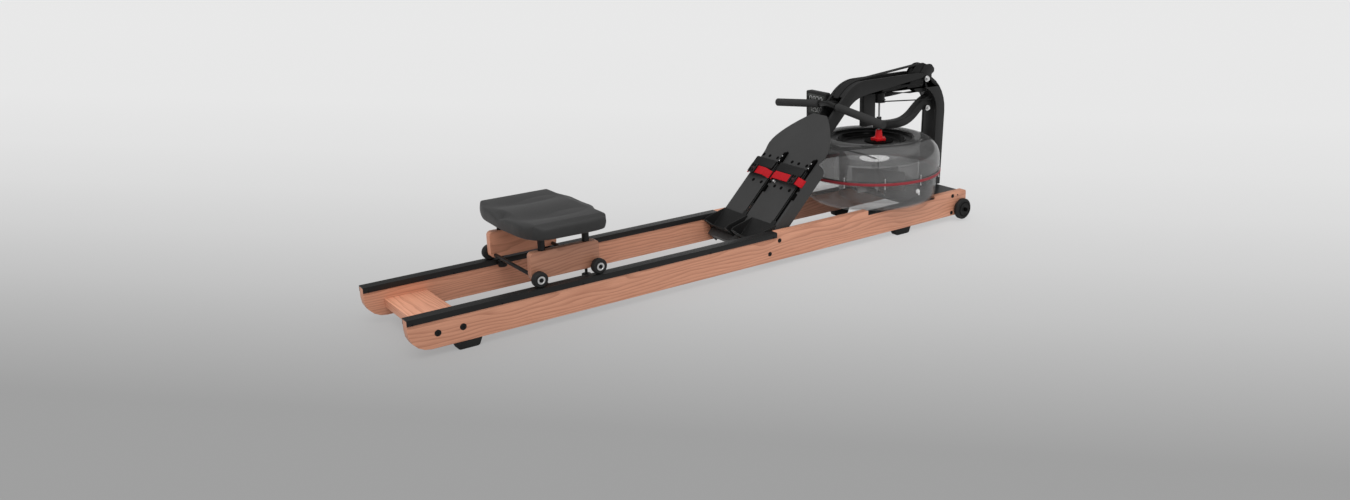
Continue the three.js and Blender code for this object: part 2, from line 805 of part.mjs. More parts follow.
for (const [side, sign] of sides) {
  const [y0, y1] = span(sign, archOuterY - archPlateThick, archOuterY);
  let plate = sideSlab(archOutline, y0, y1);
  plate = cut(plate, bar(boltRadius + boreGap,
    [pulleyX, y0 - overrun, pulleyZ], [pulleyX, y1 + overrun, pulleyZ], smallSides));
  if (side === 'far') {
    plate = join(plate, bar(monitorRodRadius, [rodX, y0 + overrun, monitorRodZ],
      [rodX, monitorInnerY + monitorWidth * monitorRodShare, monitorRodZ], smallSides));
  }
  add(`arch_plate_${side}`, plate, finishes.blackMetal);
}

// Core of the arch: a web along the inner edge, and a shoe that the belt slides on
const coreHalf = archOuterY - archPlateThick - fitGap;
const webLine = rounded([
  boardPoint(rearLegFoot, -(rearLegInnerOffset - coreThick / 2)),
  [legX(rearLegInnerOffset - coreThick / 2, archWindowTop + coreThick / 2), archWindowTop + coreThick / 2,
    rearBendInnerRadius + coreThick / 2],
  [frontLegTopInner + coreThick / 2, archWindowTop + coreThick / 2, frontBendInnerRadius + coreThick / 2],
  [frontLegFootInner + coreThick / 2, deckTop],
], bendSteps);
const beltOffset = beltProud - beltThick / 2;
const shoeOffset = beltOffset - beltThick / 2 - fitGap - shoeThick / 2;

// Arc about the rear bend, from the leg's direction round to the given end angle
function bendArc(radius, endAngle) {
  const start = Math.PI / 2 + boardAngle;
  const points = [];
  for (let k = 0; k <= bendSteps; k += 1) {
    const turn = start + (endAngle - start) * k / bendSteps;
    points.push(new THREE.Vector2(radius * Math.cos(turn), radius * Math.sin(turn)).add(bendCentre));
  }
  return points;
}

const clipX = handleX + gripRadius + fitGap;
const beltRadius = rearBendRadius + beltOffset;
const pulleyBeltRadius = pulleyRadius + fitGap + fitGap + beltThick / 2;
const beltLevel = spoolTop - spoolRimThick - fitGap - beltWidth / 2;
const pulleyCentre = new THREE.Vector2(pulleyX, pulleyZ);
const toPulley = pulleyCentre.clone().sub(bendCentre);
const liftAngle = toPulley.angle() + Math.acos((beltRadius - pulleyBeltRadius) / toPulley.length());
const legDirection = new THREE.Vector2(Math.cos(boardAngle), Math.sin(boardAngle));
const beltStart = bendArc(beltRadius, liftAngle)[0];
const shoeLine = bendArc(rearBendRadius + shoeOffset, liftAngle);
shoeLine.unshift(shoeLine[0].clone().addScaledVector(legDirection, -archPlateThick));
const ribTop = archTop - beltThick - shoeThick;
add('arch_core', cut(join(
  sideSlab(strip(webLine, coreThick), -coreHalf, coreHalf),
  sideSlab(strip(shoeLine, shoeThick), -coreHalf, coreHalf),
  block(shoeRibTail, shoeRibTail + shoeRibThick, -coreHalf, coreHalf, archWindowTop, ribTop),
  block(frontLegFootInner, frontLegFootInner + coreFootLength, -coreHalf, coreHalf,
    deckTop, deckTop + coreThick),
), block(coreWindowTail, coreWindowNose, -coreWindowHalfWidth, coreWindowHalfWidth,
  archWindowTop - coreWindowDepth, ribTop)), finishes.blackMetal);

// Belt: shoe, pulley, then a twisting run to the drive spool
const returnDirection = new THREE.Vector2(shaftX, beltLevel).sub(pulleyCentre);
const dropAngle = returnDirection.angle() + Math.acos(pulleyBeltRadius / returnDirection.length());
const pulleyArc = [];
for (let k = 0; k <= pulleySteps; k += 1) {
  const end = dropAngle - Math.PI * 2;
  const turn = liftAngle + (end - liftAngle) * k / pulleySteps;
  const spoke = new THREE.Vector2(Math.cos(turn), Math.sin(turn));
  pulleyArc.push(spoke.multiplyScalar(pulleyBeltRadius).add(pulleyCentre));
}
const beltDrop = (clipX + clipLength - beltStart.x) / legDirection.x;
const beltEnd = beltStart.clone().addScaledVector(legDirection, beltDrop);
const beltLine = [beltEnd, ...bendArc(beltRadius, liftAngle), ...pulleyArc];

// Flat strip on a line of places; the width direction turns from first to last
function ribbon(places) {
  const positions = [];
  const index = [];
  places.forEach(({ at, wide, thin }, i) => {
    for (const [a, b] of [[-1, -1], [1, -1], [1, 1], [-1, 1]]) {
      positions.push(...at.clone().addScaledVector(wide, a * beltWidth / 2)
        .addScaledVector(thin, b * beltThick / 2).toArray());
    }
    if (i === 0) return;
    for (let k = 0; k < stripCorners; k += 1) {
      const [a, b] = [i * stripCorners + k, i * stripCorners + (k + 1) % stripCorners];
      const [c, d] = [a - stripCorners, b - stripCorners];
      index.push(c, d, b, c, b, a);
    }
  });
  const last = (places.length - 1) * stripCorners;
  index.push(0, 2, 1, 0, 3, 2, last, last + 1, last + 2, last, last + 2, last + 3);
  const geometry = new THREE.BufferGeometry();
  geometry.setAttribute('position', new THREE.Float32BufferAttribute(positions, 3));
  geometry.setIndex(index);
  return solidOf(geometry);
}

function beltPlaces() {
  const across = new THREE.Vector3(0, 1, 0);
  const places = beltLine.map((point, i) => {
    const ahead = beltLine[Math.min(i + 1, beltLine.length - 1)];
    const behind = beltLine[Math.max(i - 1, 0)];
    const along = ahead.clone().sub(behind).normalize();
    return { at: new THREE.Vector3(point.x, 0, point.y), wide: across,
      thin: new THREE.Vector3(-along.y, 0, along.x) };
  });
  const last = places[places.length - 1];
  const from = last.at.clone();
  from.x -= pulleyRimRadius;
  places.push({ ...last, at: from });
  const to = new THREE.Vector3(shaftX, spoolRadius + fitGap + beltThick, beltLevel);
  const along = to.clone().sub(from).normalize();
  const up = new THREE.Vector3(0, 0, 1);
  const level = new THREE.Vector3().crossVectors(along, up).normalize();
  const steep = new THREE.Vector3().crossVectors(level, along).normalize();
  for (let k = 1; k <= bendSteps; k += 1) {
    const share = k / bendSteps;
    const turn = Math.PI / 2 * share;
    const wide = level.clone().multiplyScalar(Math.cos(turn)).addScaledVector(steep, -Math.sin(turn));
    places.push({ at: from.clone().lerp(to, share), wide, thin: along.clone().cross(wide) });
  }
  return places;
}
add('belt', ribbon(beltPlaces()), finishes.rubber);

// Pulley on the upper bolt, and the bracket with the end loop
add('top_pulley', turnedY([
  [boltRadius + boreGap, -pulleyWidth / 2], [pulleyRimRadius, -pulleyWidth / 2],
  [pulleyRimRadius, pulleyRimThick - pulleyWidth / 2], [pulleyRadius, pulleyRimThick - pulleyWidth / 2],
  [pulleyRadius, pulleyWidth / 2 - pulleyRimThick], [pulleyRimRadius, pulleyWidth / 2 - pulleyRimThick],
  [pulleyRimRadius, pulleyWidth / 2], [boltRadius + boreGap, pulleyWidth / 2],
], pulleyX, pulleyZ, roundSides + bendSteps), finishes.blackPlastic);

const earInner = pulleyWidth / 2 + runGap;
const earOuter = earInner + bracketEarThick;
const earOutline = rounded([
  [pulleyX - bracketEarRadius, pulleyZ - bracketEarRadius, bracketEarRadius],
  [pulleyX - bracketEarRadius, pulleyZ + bracketEarRadius, bracketEarRadius],
  [humpX - humpRadius, humpZ + humpRadius, humpRadius],
  [humpX + humpRadius, humpZ + humpRadius, humpRadius],
  [crossBarX + crossBarRadius, crossBarZ + crossBarRadius, crossBarRadius],
  [crossBarX + crossBarRadius, crossBarZ - crossBarRadius, crossBarRadius],
  [pulleyX + bracketEarRadius, pulleyZ - bracketEarRadius, bracketEarRadius],
], cornerSteps);
const loop = new THREE.TorusGeometry(loopRadius, loopWire, bungeeSides, smallSides);
loop.rotateX(Math.PI / 2);
loop.translate(loopX, 0, loopZ);
const boltReach = archOuterY + fitGap + boltHeadThick;
add('pulley_bracket', join(
  sideSlab(earOutline, -earOuter, -earInner),
  sideSlab(earOutline, earInner, earOuter),
  bar(crossBarRadius, [crossBarX, -earOuter, crossBarZ], [crossBarX, earOuter, crossBarZ], smallSides),
  solidOf(loop),
  bar(boltRadius, [pulleyX, -boltReach, pulleyZ], [pulleyX, boltReach, pulleyZ], smallSides),
  ...sides.map(([, sign]) => bar(boltHeadRadius, [pulleyX, sign * (boltReach - boltHeadThick), pulleyZ],
    [pulleyX, sign * boltReach, pulleyZ], nutSides)),
), finishes.blackMetal);

// Bearing arm from the front leg down to the middle of the tank
const armPath = armPathShares.map(([along, rise]) => new THREE.Vector2(
  shaftX + (armEndX - shaftX) * along, armLowZ + (armEndZ - armLowZ) * rise));
const armLine = new THREE.SplineCurve(armPath).getPoints(bendSteps * 2);
const armTipZ = armPath[1].y;
const bearingTop = armTipZ + armThick / 2 + bearingHeight;
const shaftBore = (low, high) => bar(shaftRadius + boreGap, [shaftX, 0, low], [shaftX, 0, high], smallSides);
const armBody = sideSlab(strip(armLine, armThick), -armHalfWidth, armHalfWidth);
const lowBolt = bar(boltRadius, [lowerBoltX, -coreHalf, lowerBoltZ], [lowerBoltX, coreHalf, lowerBoltZ],
  smallSides);
const lowNuts = sides.map(([, sign]) => bar(boltHeadRadius,
  [lowerBoltX, sign * (coreHalf - boltHeadThick), lowerBoltZ],
  [lowerBoltX, sign * coreHalf, lowerBoltZ], nutSides));
const armLug = block(lowerBoltX - boltHeadRadius, frontLegTopInner, -armHalfWidth, armHalfWidth,
  lowerBoltZ - boltHeadRadius, lowerBoltZ + armThick);
const legKeepOut = [archOutline, strip(webLine, coreThick + fitGap + fitGap)]
  .map((outline) => sideSlab(outline, -archOuterY, archOuterY));
add('bearing_arm', cut(join(armBody, armLug, lowBolt, ...lowNuts,
  bar(bearingRadius, [shaftX, 0, armTipZ], [shaftX, 0, bearingTop], smallSides)),
...legKeepOut, shaftBore(armTipZ - armThick, bearingTop + overrun)), finishes.blackMetal);

// Post under the arch
add('drive_post', block(postTail, postNose, -postHalfWidth, postHalfWidth,
  postFoot, archWindowTop - fitGap), finishes.blackMetal);

// Drive spool on the shaft, with a groove for the bungee under the belt
const grooveTop = spoolBottom + spoolRimThick + spoolGroove;
const fenceTop = grooveTop + spoolFenceThick;
add('drive_spool', turned([
  [shaftRadius + boreGap, spoolBottom], [spoolRimRadius, spoolBottom],
  [spoolRimRadius, spoolBottom + spoolRimThick],
  [spoolRadius, spoolBottom + spoolRimThick], [spoolRadius, grooveTop], [spoolRimRadius, grooveTop],
  [spoolRimRadius, fenceTop], [spoolRadius, fenceTop], [spoolRadius, spoolTop - spoolRimThick],
  [spoolRimRadius, spoolTop - spoolRimThick], [spoolRimRadius, spoolTop], [shaftRadius + boreGap, spoolTop],
], shaftX, 0), finishes.blackPlastic);

// Bungee that rewinds the belt
const bungeeY = spoolRadius + bungeeRadius + fitGap;
add('bungee', bar(bungeeRadius, [shaftX, -bungeeY, bungeeZ], [bungeeEndX, -bungeeY, bungeeEndZ],
  bungeeSides), finishes.rubber);

// Water tank
const flangeLow = gasketZ - gasketThick / 2 - fitGap;
const flangeHigh = gasketZ + gasketThick / 2 + fitGap;
const lowerOuter = tankOutline(0);
const lowerInner = lowerOuter.slice(1).map(([radius, z]) => {
  const low = dishRadius - tankBottomRadius;
  const share = (tankBottomRadius - tankWall) / tankBottomRadius;
  const lift = tankBottom + tankBottomRadius;
  return [low + (radius - low) * share, lift - (lift - z) * share];
});
add('tank_lower_shell', turned([
  ...lowerOuter, [dishRadius, flangeLow - tankFlangeThick], [tankFlangeRadius, flangeLow - tankFlangeThick],
  [tankFlangeRadius, flangeLow], [dishRadius - tankWall, flangeLow],
  ...lowerInner.reverse(), [0, tankBottom + tankWall],
], tankX, 0, tankSides), finishes.clear);

add('tank_gasket', turned([
  [dishRadius - tankWall, flangeLow + fitGap], [gasketRadius, flangeLow + fitGap],
  [gasketRadius, flangeHigh - fitGap], [dishRadius - tankWall, flangeHigh - fitGap],
], tankX, 0, tankSides), finishes.gasket);

function shoulderArc(radius) {
  const centre = tankRadius - shoulderRadius;
  const points = [];
  for (let k = 0; k <= tankSteps; k += 1) {
    const turn = Math.PI / 2 * k / tankSteps;
    points.push([centre + radius * Math.cos(turn), shoulderZ + radius * Math.sin(turn)]);
  }
  return points;
}
add('tank_upper_shell', turned([
  [tankRadius - tankWall, flangeHigh], [tankFlangeRadius, flangeHigh],
  [tankFlangeRadius, flangeHigh + tankFlangeThick],
  [tankRadius, flangeHigh + tankFlangeThick], ...shoulderArc(shoulderRadius),
  [bowlRadius + fitGap, shoulderZ + shoulderRadius - fitGap], [bowlRadius + fitGap, bowlZ - fitGap],
  [bowlRadius - bowlLip, bowlZ - fitGap], [bowlRadius - bowlLip, bowlZ - fitGap - tankWall],
  [dipRadius, bowlZ - fitGap - tankWall], [dipRadius, shoulderZ + shoulderRadius - tankWall],
  ...shoulderArc(shoulderRadius - tankWall).reverse(),
], tankX, 0, tankSides), finishes.clear);

// Lid in the middle of the tank, stepped in rings, with a hub round the shaft
const lidTop = bowlZ + lidThick;
const [wideRidge, smallRidge] = lidRidgeRadii;
add('tank_lid', cut(join(turned([
  [0, bowlZ - lidSkirtDepth], [lidSkirtRadius, bowlZ - lidSkirtDepth],
  [lidSkirtRadius, bowlZ], [bowlRadius, bowlZ], [bowlRadius, lidRimTop],
  [bowlRadius - lidRimThick, lidRimTop], [bowlRadius - lidRimThick - lidRidgeHeight, lidStepTop],
  [wideRidge + lidRidgeHeight, lidStepTop], [wideRidge, lidStepTop + lidRidgeHeight],
  [wideRidge - lidThick, lidStepTop + lidRidgeHeight], [wideRidge - lidThick - lidRidgeHeight, lidTop],
  [smallRidge + lidRidgeHeight, lidTop], [smallRidge, lidTop + lidRidgeHeight],
  [smallRidge - lidThick, lidTop + lidRidgeHeight], [smallRidge - lidThick - lidRidgeHeight, lidTop],
  [0, lidTop],
], tankX, 0, tankSides), bar(lidHubRadius, [shaftX, 0, bowlZ], [shaftX, 0, lidTop + lidHubHeight])),
shaftBore(bowlZ - lidSkirtDepth - overrun, lidTop + lidHubHeight + overrun)), finishes.blackPlastic);

// Inner tank: a sleeve that hangs above the tank floor
const tankFloor = tankBottom + tankWall;
add('inner_tank', turned([
  [innerTankRadius - innerTankWall, tankFloor + fitGap], [innerTankRadius, tankFloor + fitGap],
  [innerTankRadius, innerTankTop], [innerTankRadius - innerTankWall, innerTankTop],
], shaftX, 0, tankSides), finishes.clear);

// Water between the sleeve and the tank wall
add('water', cut(turned([
  [0, tankFloor + fitGap],
  ...lowerInner.slice().reverse().map(([radius, z]) => [radius - fitGap, z + fitGap]),
  [dishRadius - tankWall - fitGap, waterLevel], [0, waterLevel],
], tankX, 0, tankSides), turned([
  [0, tankFloor], [innerTankRadius + fitGap, tankFloor],
  [innerTankRadius + fitGap, waterLevel + overrun], [0, waterLevel + overrun],
], shaftX, 0, tankSides)), finishes.water);

// Impeller: paddles on a shaft that passes the lid, the knob, the arm and the spool
const paddleBottom = tankFloor + paddleFloor;
const paddleParts = [
  bar(shaftRadius, [shaftX, 0, tankFloor + fitGap], [shaftX, 0, shaftTop], smallSides),
  bar(paddleHubRadius, [shaftX, 0, paddleBottom], [shaftX, 0, paddleBottom + paddleHeight], smallSides),
];
for (let k = 0; k < paddleCount; k += 1) {
  const paddle = new THREE.BoxGeometry(paddleRadius, paddleThick, paddleHeight);
  paddle.translate(paddleRadius / 2, 0, paddleBottom + paddleHeight / 2);
  paddle.rotateZ(Math.PI * 2 * k / paddleCount);
  paddle.translate(shaftX, 0, 0);
  paddleParts.push(solidOf(paddle));
}
add('impeller', join(...paddleParts), finishes.steel);

// Level knob: lobed skirt with a hub
const knobFloor = lidTop + lidHubHeight + fitGap;
const knobTop = knobFloor + knobHeight;
const lobes = [];
for (let k = 0; k < knobLobes; k += 1) {
  const turn = Math.PI * 2 * k / knobLobes;
  const reach = knobRadius - knobLobeRadius;
  const [x, y] = [shaftX + reach * Math.cos(turn), reach * Math.sin(turn)];
  lobes.push(bar(knobLobeRadius, [x, y, knobFloor], [x, y, knobFloor + knobPlateHeight], smallSides));
}
add('level_knob', cut(join(
  bar(knobRadius - knobLobeRadius, [shaftX, 0, knobFloor], [shaftX, 0, knobFloor + knobPlateHeight]),
  turned([[0, knobFloor], [knobHubRadius + knobDraft, knobFloor], [knobHubRadius, knobTop - knobDraft],
    [knobHubRadius - knobDraft, knobTop], [0, knobTop]], shaftX, 0, smallSides),
  ...lobes), shaftBore(knobFloor - overrun, knobTop + overrun)), finishes.red);

// Seat carriage: wheels on two axles, wooden panels, guide rollers
const wheelZ = railTop + wheelRadius;
const wheelOuterY = wheelInnerY + wheelWidth;
for (const [end, x] of [['rear', rearWheelX], ['front', frontWheelX]]) {
  const shoulder = panelOuterY + fitGap;
  const seat = panelOuterY - panelThick;
  add(`seat_axle_${end}`, join(
    bar(axleRadius, [x, fitGap - seat, wheelZ], [x, seat - fitGap, wheelZ], smallSides),
    bar(axleEndRadius, [x, -(wheelOuterY + fitGap), wheelZ], [x, wheelOuterY + fitGap, wheelZ], smallSides),
    ...sides.map(([, sign]) => bar(axleRadius, [x, sign * shoulder, wheelZ],
      [x, sign * (wheelInnerY - runGap), wheelZ], smallSides)),
  ), finishes.blackMetal);
  for (const [side, sign] of sides) {
    const profile = [
      [axleEndRadius + boreGap, wheelInnerY], [wheelRadius - wheelChamfer, wheelInnerY],
      [wheelRadius, wheelInnerY + wheelChamfer], [wheelRadius, wheelOuterY - wheelChamfer],
      [wheelRadius - wheelChamfer, wheelOuterY], [axleEndRadius + boreGap, wheelOuterY],
    ].map(([radius, y]) => [radius, sign * y]);
    add(`seat_wheel_${end}_${side}`, turnedY(sign > 0 ? profile : profile.reverse(), x, wheelZ),
      finishes.rubber);
  }
}

const rollerTop = rollerBottom + rollerHeight;
for (const [side, sign] of sides) {
  const [y0, y1] = span(sign, panelOuterY - panelThick, panelOuterY);
  const rollerY = sign * (railInnerY - fitGap - trackSideThick - runGap - rollerRadius);
  const rollerXs = { rear: rearWheelX + rollerInset, front: frontWheelX - rollerInset };
  const panel = sideSlab(rounded([
    [panelTail, panelBottom, panelRadius], [panelNose, panelBottom, panelRadius],
    [panelNose, panelTop, panelRadius], [panelTail, panelTop, panelRadius],
  ]), y0, y1);
  const bores = [rearWheelX, frontWheelX].map((x) => bar(axleEndRadius + boreGap,
    [x, y0 - overrun, wheelZ], [x, y1 + overrun, wheelZ], smallSides));
  const pinBores = Object.values(rollerXs).map((x) => bar(rollerPinRadius + boreGap,
    [x, rollerY, panelBottom - overrun], [x, rollerY, panelBottom + rollerPinDepth + fitGap], smallSides));
  add(`seat_panel_${side}`, cut(panel, ...bores, ...pinBores), finishes.ash);
  for (const [end, x] of Object.entries(rollerXs)) {
    add(`guide_roller_${end}_${side}`, join(
      turned([[0, rollerBottom], [rollerRadius - rollerChamfer, rollerBottom],
        [rollerRadius, rollerBottom + rollerChamfer],
        [rollerRadius, rollerTop], [0, rollerTop]], x, rollerY, roundSides),
      bar(rollerPinRadius, [x, rollerY, rollerBottom], [x, rollerY, panelBottom + rollerPinDepth],
        smallSides)),
    finishes.blackPlastic);
  }
}

const postY = panelOuterY - panelThick / 2;
add('seat_base', join(
  block(seatPlateTail, seatPlateNose, -seatPlateHalfWidth, seatPlateHalfWidth, seatPlateBottom,
    seatPlateBottom + seatPlateThick),
  ...sides.flatMap(([, sign]) => [rearPostX, frontPostX].map((x) => bar(seatPostRadius,
    [x, sign * postY, panelTop + fitGap], [x, sign * postY, seatPlateBottom + fitGap], smallSides))),
), finishes.blackMetal);

// Seat pad: a turned form pulled to the pad's outline, with two lobes, sit hollows and a channel
const padBottom = seatPlateBottom + seatPlateThick + fitGap;

function bump(distance, spread) {
  return Math.exp(-((distance / spread) ** 2));
}

// Height over the rim; the channel and the rim's dip are deepest at the tail
function padRise(x, y) {
  const lobe = padCrown * bump(Math.abs(y) - padLobeY, padLobeSpread);
  const tailShare = (padTail + padLength - x) / padLength;
  const channel = padChannelDepth * bump(y, padChannelHalfWidth) * tailShare;
  const hollow = padHollowDepth * bump(Math.hypot(x - padHollowX, Math.abs(y) - padLobeY), padHollowSpread);
  return lobe - channel - hollow;
}

function padOutline() {
  const half = padOutlineShares.map(([along, across]) => new THREE.Vector3(
    padTail + padLength * along - padMiddleX, padHalfWidth * across, 0));
  const mirrored = half.slice(1).map((point) => new THREE.Vector3(point.x, -point.y, 0)).reverse();
  return new THREE.CatmullRomCurve3([...half, ...mirrored], true).getSpacedPoints(padSides);
}

function seatPad() {
  const outline = padOutline();
  const profile = padSectionShares.map(([out, up]) => new THREE.Vector2(out, up));
  const lathe = new THREE.LatheGeometry(profile, padSides);
  const position = lathe.attributes.position;
  for (let i = 0; i < position.count; i += 1) {
    const edge = outline[Math.floor(i / profile.length) % padSides];
    const [out, up] = padSectionShares[i % profile.length];
    const [x, y] = [padMiddleX + edge.x * out, edge.y * out];
    const rim = 1 - out ** padTuck / 2;
    position.setXYZ(i, x, y, padBottom + (padSideHeight + padRise(x, y) * rim) * up);
  }
  return solidOf(lathe);
}
add('seat_pad', seatPad(), finishes.leatherette);

// Handle: bar with a clip in the middle and a foam grip on each side
const slope = (handleZ - handleEndZ) / handleHalfLength;
const handleAt = (y) => [handleX, y, handleZ - slope * Math.abs(y)];
const gripOuter = handleHalfLength - gripEnd;
add('handle_bar', join(
  bar(handleBarRadius, handleAt(-gripOuter), handleAt(0), smallSides),
  bar(handleBarRadius, handleAt(0), handleAt(gripOuter), smallSides),
  bar(handleHubRadius, handleAt(-handleHubHalf), handleAt(0), roundSides),
  bar(handleHubRadius, handleAt(0), handleAt(handleHubHalf), roundSides),
  block(handleX - handleBarRadius, clipX + clipLength - fitGap, -clipWidth / 2, clipWidth / 2,
    handleZ - clipHeight / 2, handleZ + clipHeight / 2),
), finishes.blackMetal);
for (const [side, sign] of sides) {
  const sleeve = cut(bar(gripRadius, handleAt(sign * gripInner), handleAt(sign * handleHalfLength)),
    bar(handleBarRadius + boreGap, handleAt(sign * (gripInner - overrun)),
      handleAt(sign * (gripOuter + fitGap)),
      smallSides));
  add(`grip_${side}`, sleeve, finishes.foam);
}

// Monitor on the rod of the far plate
const monitorOuterY = monitorInnerY + monitorWidth;
const monitorTop = monitorBottom + monitorHeight;
const screenLow = monitorBottom + screenBottomMargin;
const faceBlock = (yLow, yHigh, zLow, zHigh, depth) => block(
  monitorX - overrun, monitorX + depth, yLow, yHigh, zLow, zHigh);
const caseOutline = rounded([
  [monitorInnerY, monitorBottom, monitorRadius], [monitorOuterY, monitorBottom, monitorRadius],
  [monitorOuterY, monitorTop, monitorRadius], [monitorInnerY, monitorTop, monitorRadius],
]);
const caseGeometry = slab(caseOutline, 0, monitorDepth);
caseGeometry.applyMatrix4(new THREE.Matrix4().makeBasis(
  new THREE.Vector3(0, 1, 0), new THREE.Vector3(0, 0, 1), new THREE.Vector3(1, 0, 0)));
caseGeometry.translate(monitorX, 0, 0);
const clipHalf = monitorRodRadius + monitorClipWall;
const buttonZ = monitorBottom + screenBottomMargin / 2;
const buttonYs = buttonShares.map((share) => monitorInnerY + monitorWidth * share);
const clipYs = monitorClipShares.map((share) => monitorInnerY + monitorWidth * share);
add('monitor_case', cut(join(
  solidOf(caseGeometry),
  block(monitorX + monitorDepth - fitGap, rodX + clipHalf, ...clipYs,
    monitorRodZ - clipHalf, monitorRodZ + clipHalf),
), faceBlock(monitorInnerY + screenMargin, monitorOuterY - screenMargin,
  screenLow, monitorTop - screenMargin,
  screenDepth + fitGap),
...buttonYs.map((y) => faceBlock(y - buttonWidth / 2 - buttonGap, y + buttonWidth / 2 + buttonGap,
  buttonZ - buttonHeight / 2 - buttonGap, buttonZ + buttonHeight / 2 + buttonGap,
  buttonDepth + buttonProud)),
bar(monitorRodRadius + boreGap, [rodX, monitorInnerY - overrun, monitorRodZ],
  [rodX, monitorOuterY, monitorRodZ],
  smallSides),
), finishes.blackPlastic);
add('monitor_screen', block(monitorX, monitorX + screenDepth, monitorInnerY + screenMargin + fitGap,
  monitorOuterY - screenMargin - fitGap, screenLow + fitGap, monitorTop - screenMargin - fitGap),
finishes.glass);
buttonYs.forEach((y, i) => {
  add(`monitor_button_${i + 1}`, block(monitorX - buttonProud, monitorX + buttonDepth - buttonProud,
    y - buttonWidth / 2, y + buttonWidth / 2, buttonZ - buttonHeight / 2, buttonZ + buttonHeight / 2),
  finishes.rubber);
});

// Transport wheels on the front end
for (const [side, sign] of sides) {
  const inner = railOuterY + transportStandOff;
  const outer = inner + transportWidth;
  const profile = [
    [0, railOuterY - transportPinDepth], [transportPinRadius, railOuterY - transportPinDepth],
    [transportPinRadius, inner - fitGap], [transportHubRadius, inner - fitGap], [transportHubRadius, inner],
    [transportRadius - wheelChamfer, inner], [transportRadius, inner + wheelChamfer],
    [transportRadius, outer - wheelChamfer], [transportRadius - wheelChamfer, outer],
    [transportHubRadius, outer], [transportHubRadius, outer + transportHubProud],
    [0, outer + transportHubProud],
  ].map(([radius, y]) => [radius, sign * y]);
  add(`transport_wheel_${side}`, turnedY(sign > 0 ? profile : profile.reverse(), transportX, transportZ),
    finishes.rubber);
}

// Origin at the middle of the footprint
const bounds = new THREE.Box3().setFromObject(machine, true);
machine.position.x = -(bounds.min.x + bounds.max.x) / 2;

export default machine;
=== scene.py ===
# Water rowing machine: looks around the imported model. Metres, +Z up, +X from the tail to the tank.
import json
import math

import bmesh
import bpy
from mathutils import Matrix, Vector
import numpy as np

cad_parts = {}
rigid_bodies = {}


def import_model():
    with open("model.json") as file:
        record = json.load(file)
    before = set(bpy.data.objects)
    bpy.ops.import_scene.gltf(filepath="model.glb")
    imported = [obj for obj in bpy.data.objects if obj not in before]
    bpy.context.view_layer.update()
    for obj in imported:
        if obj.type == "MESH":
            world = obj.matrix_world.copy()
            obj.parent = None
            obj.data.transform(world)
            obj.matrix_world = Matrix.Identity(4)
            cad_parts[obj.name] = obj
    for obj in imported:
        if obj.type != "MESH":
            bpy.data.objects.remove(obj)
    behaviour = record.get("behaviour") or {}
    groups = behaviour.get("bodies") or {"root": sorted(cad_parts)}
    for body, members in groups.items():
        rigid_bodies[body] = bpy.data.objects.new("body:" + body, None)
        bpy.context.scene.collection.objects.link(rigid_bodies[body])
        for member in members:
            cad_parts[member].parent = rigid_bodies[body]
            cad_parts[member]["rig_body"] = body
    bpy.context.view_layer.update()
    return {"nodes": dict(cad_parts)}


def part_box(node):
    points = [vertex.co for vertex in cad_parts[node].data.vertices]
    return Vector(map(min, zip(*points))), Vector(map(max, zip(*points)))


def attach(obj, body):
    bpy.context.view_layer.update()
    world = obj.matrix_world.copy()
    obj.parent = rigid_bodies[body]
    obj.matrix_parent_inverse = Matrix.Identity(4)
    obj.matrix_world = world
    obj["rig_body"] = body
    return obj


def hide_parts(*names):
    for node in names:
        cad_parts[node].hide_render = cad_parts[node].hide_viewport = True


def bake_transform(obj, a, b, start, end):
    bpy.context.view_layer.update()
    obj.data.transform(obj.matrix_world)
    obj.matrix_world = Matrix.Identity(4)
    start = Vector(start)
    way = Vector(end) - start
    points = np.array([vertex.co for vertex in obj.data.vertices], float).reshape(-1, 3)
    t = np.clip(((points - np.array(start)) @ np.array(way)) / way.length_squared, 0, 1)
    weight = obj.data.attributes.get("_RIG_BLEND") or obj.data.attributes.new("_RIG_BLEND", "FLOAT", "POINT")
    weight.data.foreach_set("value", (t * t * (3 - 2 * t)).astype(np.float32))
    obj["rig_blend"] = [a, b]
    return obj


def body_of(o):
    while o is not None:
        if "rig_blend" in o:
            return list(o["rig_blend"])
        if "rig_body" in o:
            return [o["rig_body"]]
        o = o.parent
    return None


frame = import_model()
nodes = frame["nodes"]

# Places shared by the pieces
MM = 0.001
TAIL_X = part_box("rail_near")[0].x
SIDES = (("near", -1), ("far", 1))
BOARD_ANGLE = math.radians(45.18)
BOARD_FOOT_X, BOARD_FOOT_Z = 1203.6, 120

# How close points join, in metres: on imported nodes, and on turned or cut outlines
WELD_REACH, SEAM_REACH = 0.00002, 0.00001


# Materials
class Wire:
    """A node's output that takes part in arithmetic."""

    def __init__(self, finish, socket):
        self.finish, self.socket = finish, socket

    def maths(self, operation, *values):
        inputs = dict(enumerate(values))
        return self.finish.node("ShaderNodeMath", {"operation": operation}, inputs)

    def __add__(self, other):
        return self.maths("ADD", self, other)

    def __radd__(self, other):
        return self.maths("ADD", other, self)

    def __sub__(self, other):
        return self.maths("SUBTRACT", self, other)

    def __rsub__(self, other):
        return self.maths("SUBTRACT", other, self)

    def __mul__(self, other):
        return self.maths("MULTIPLY", self, other)

    def __rmul__(self, other):
        return self.maths("MULTIPLY", other, self)

    def __pow__(self, other):
        return self.maths("POWER", self, other)


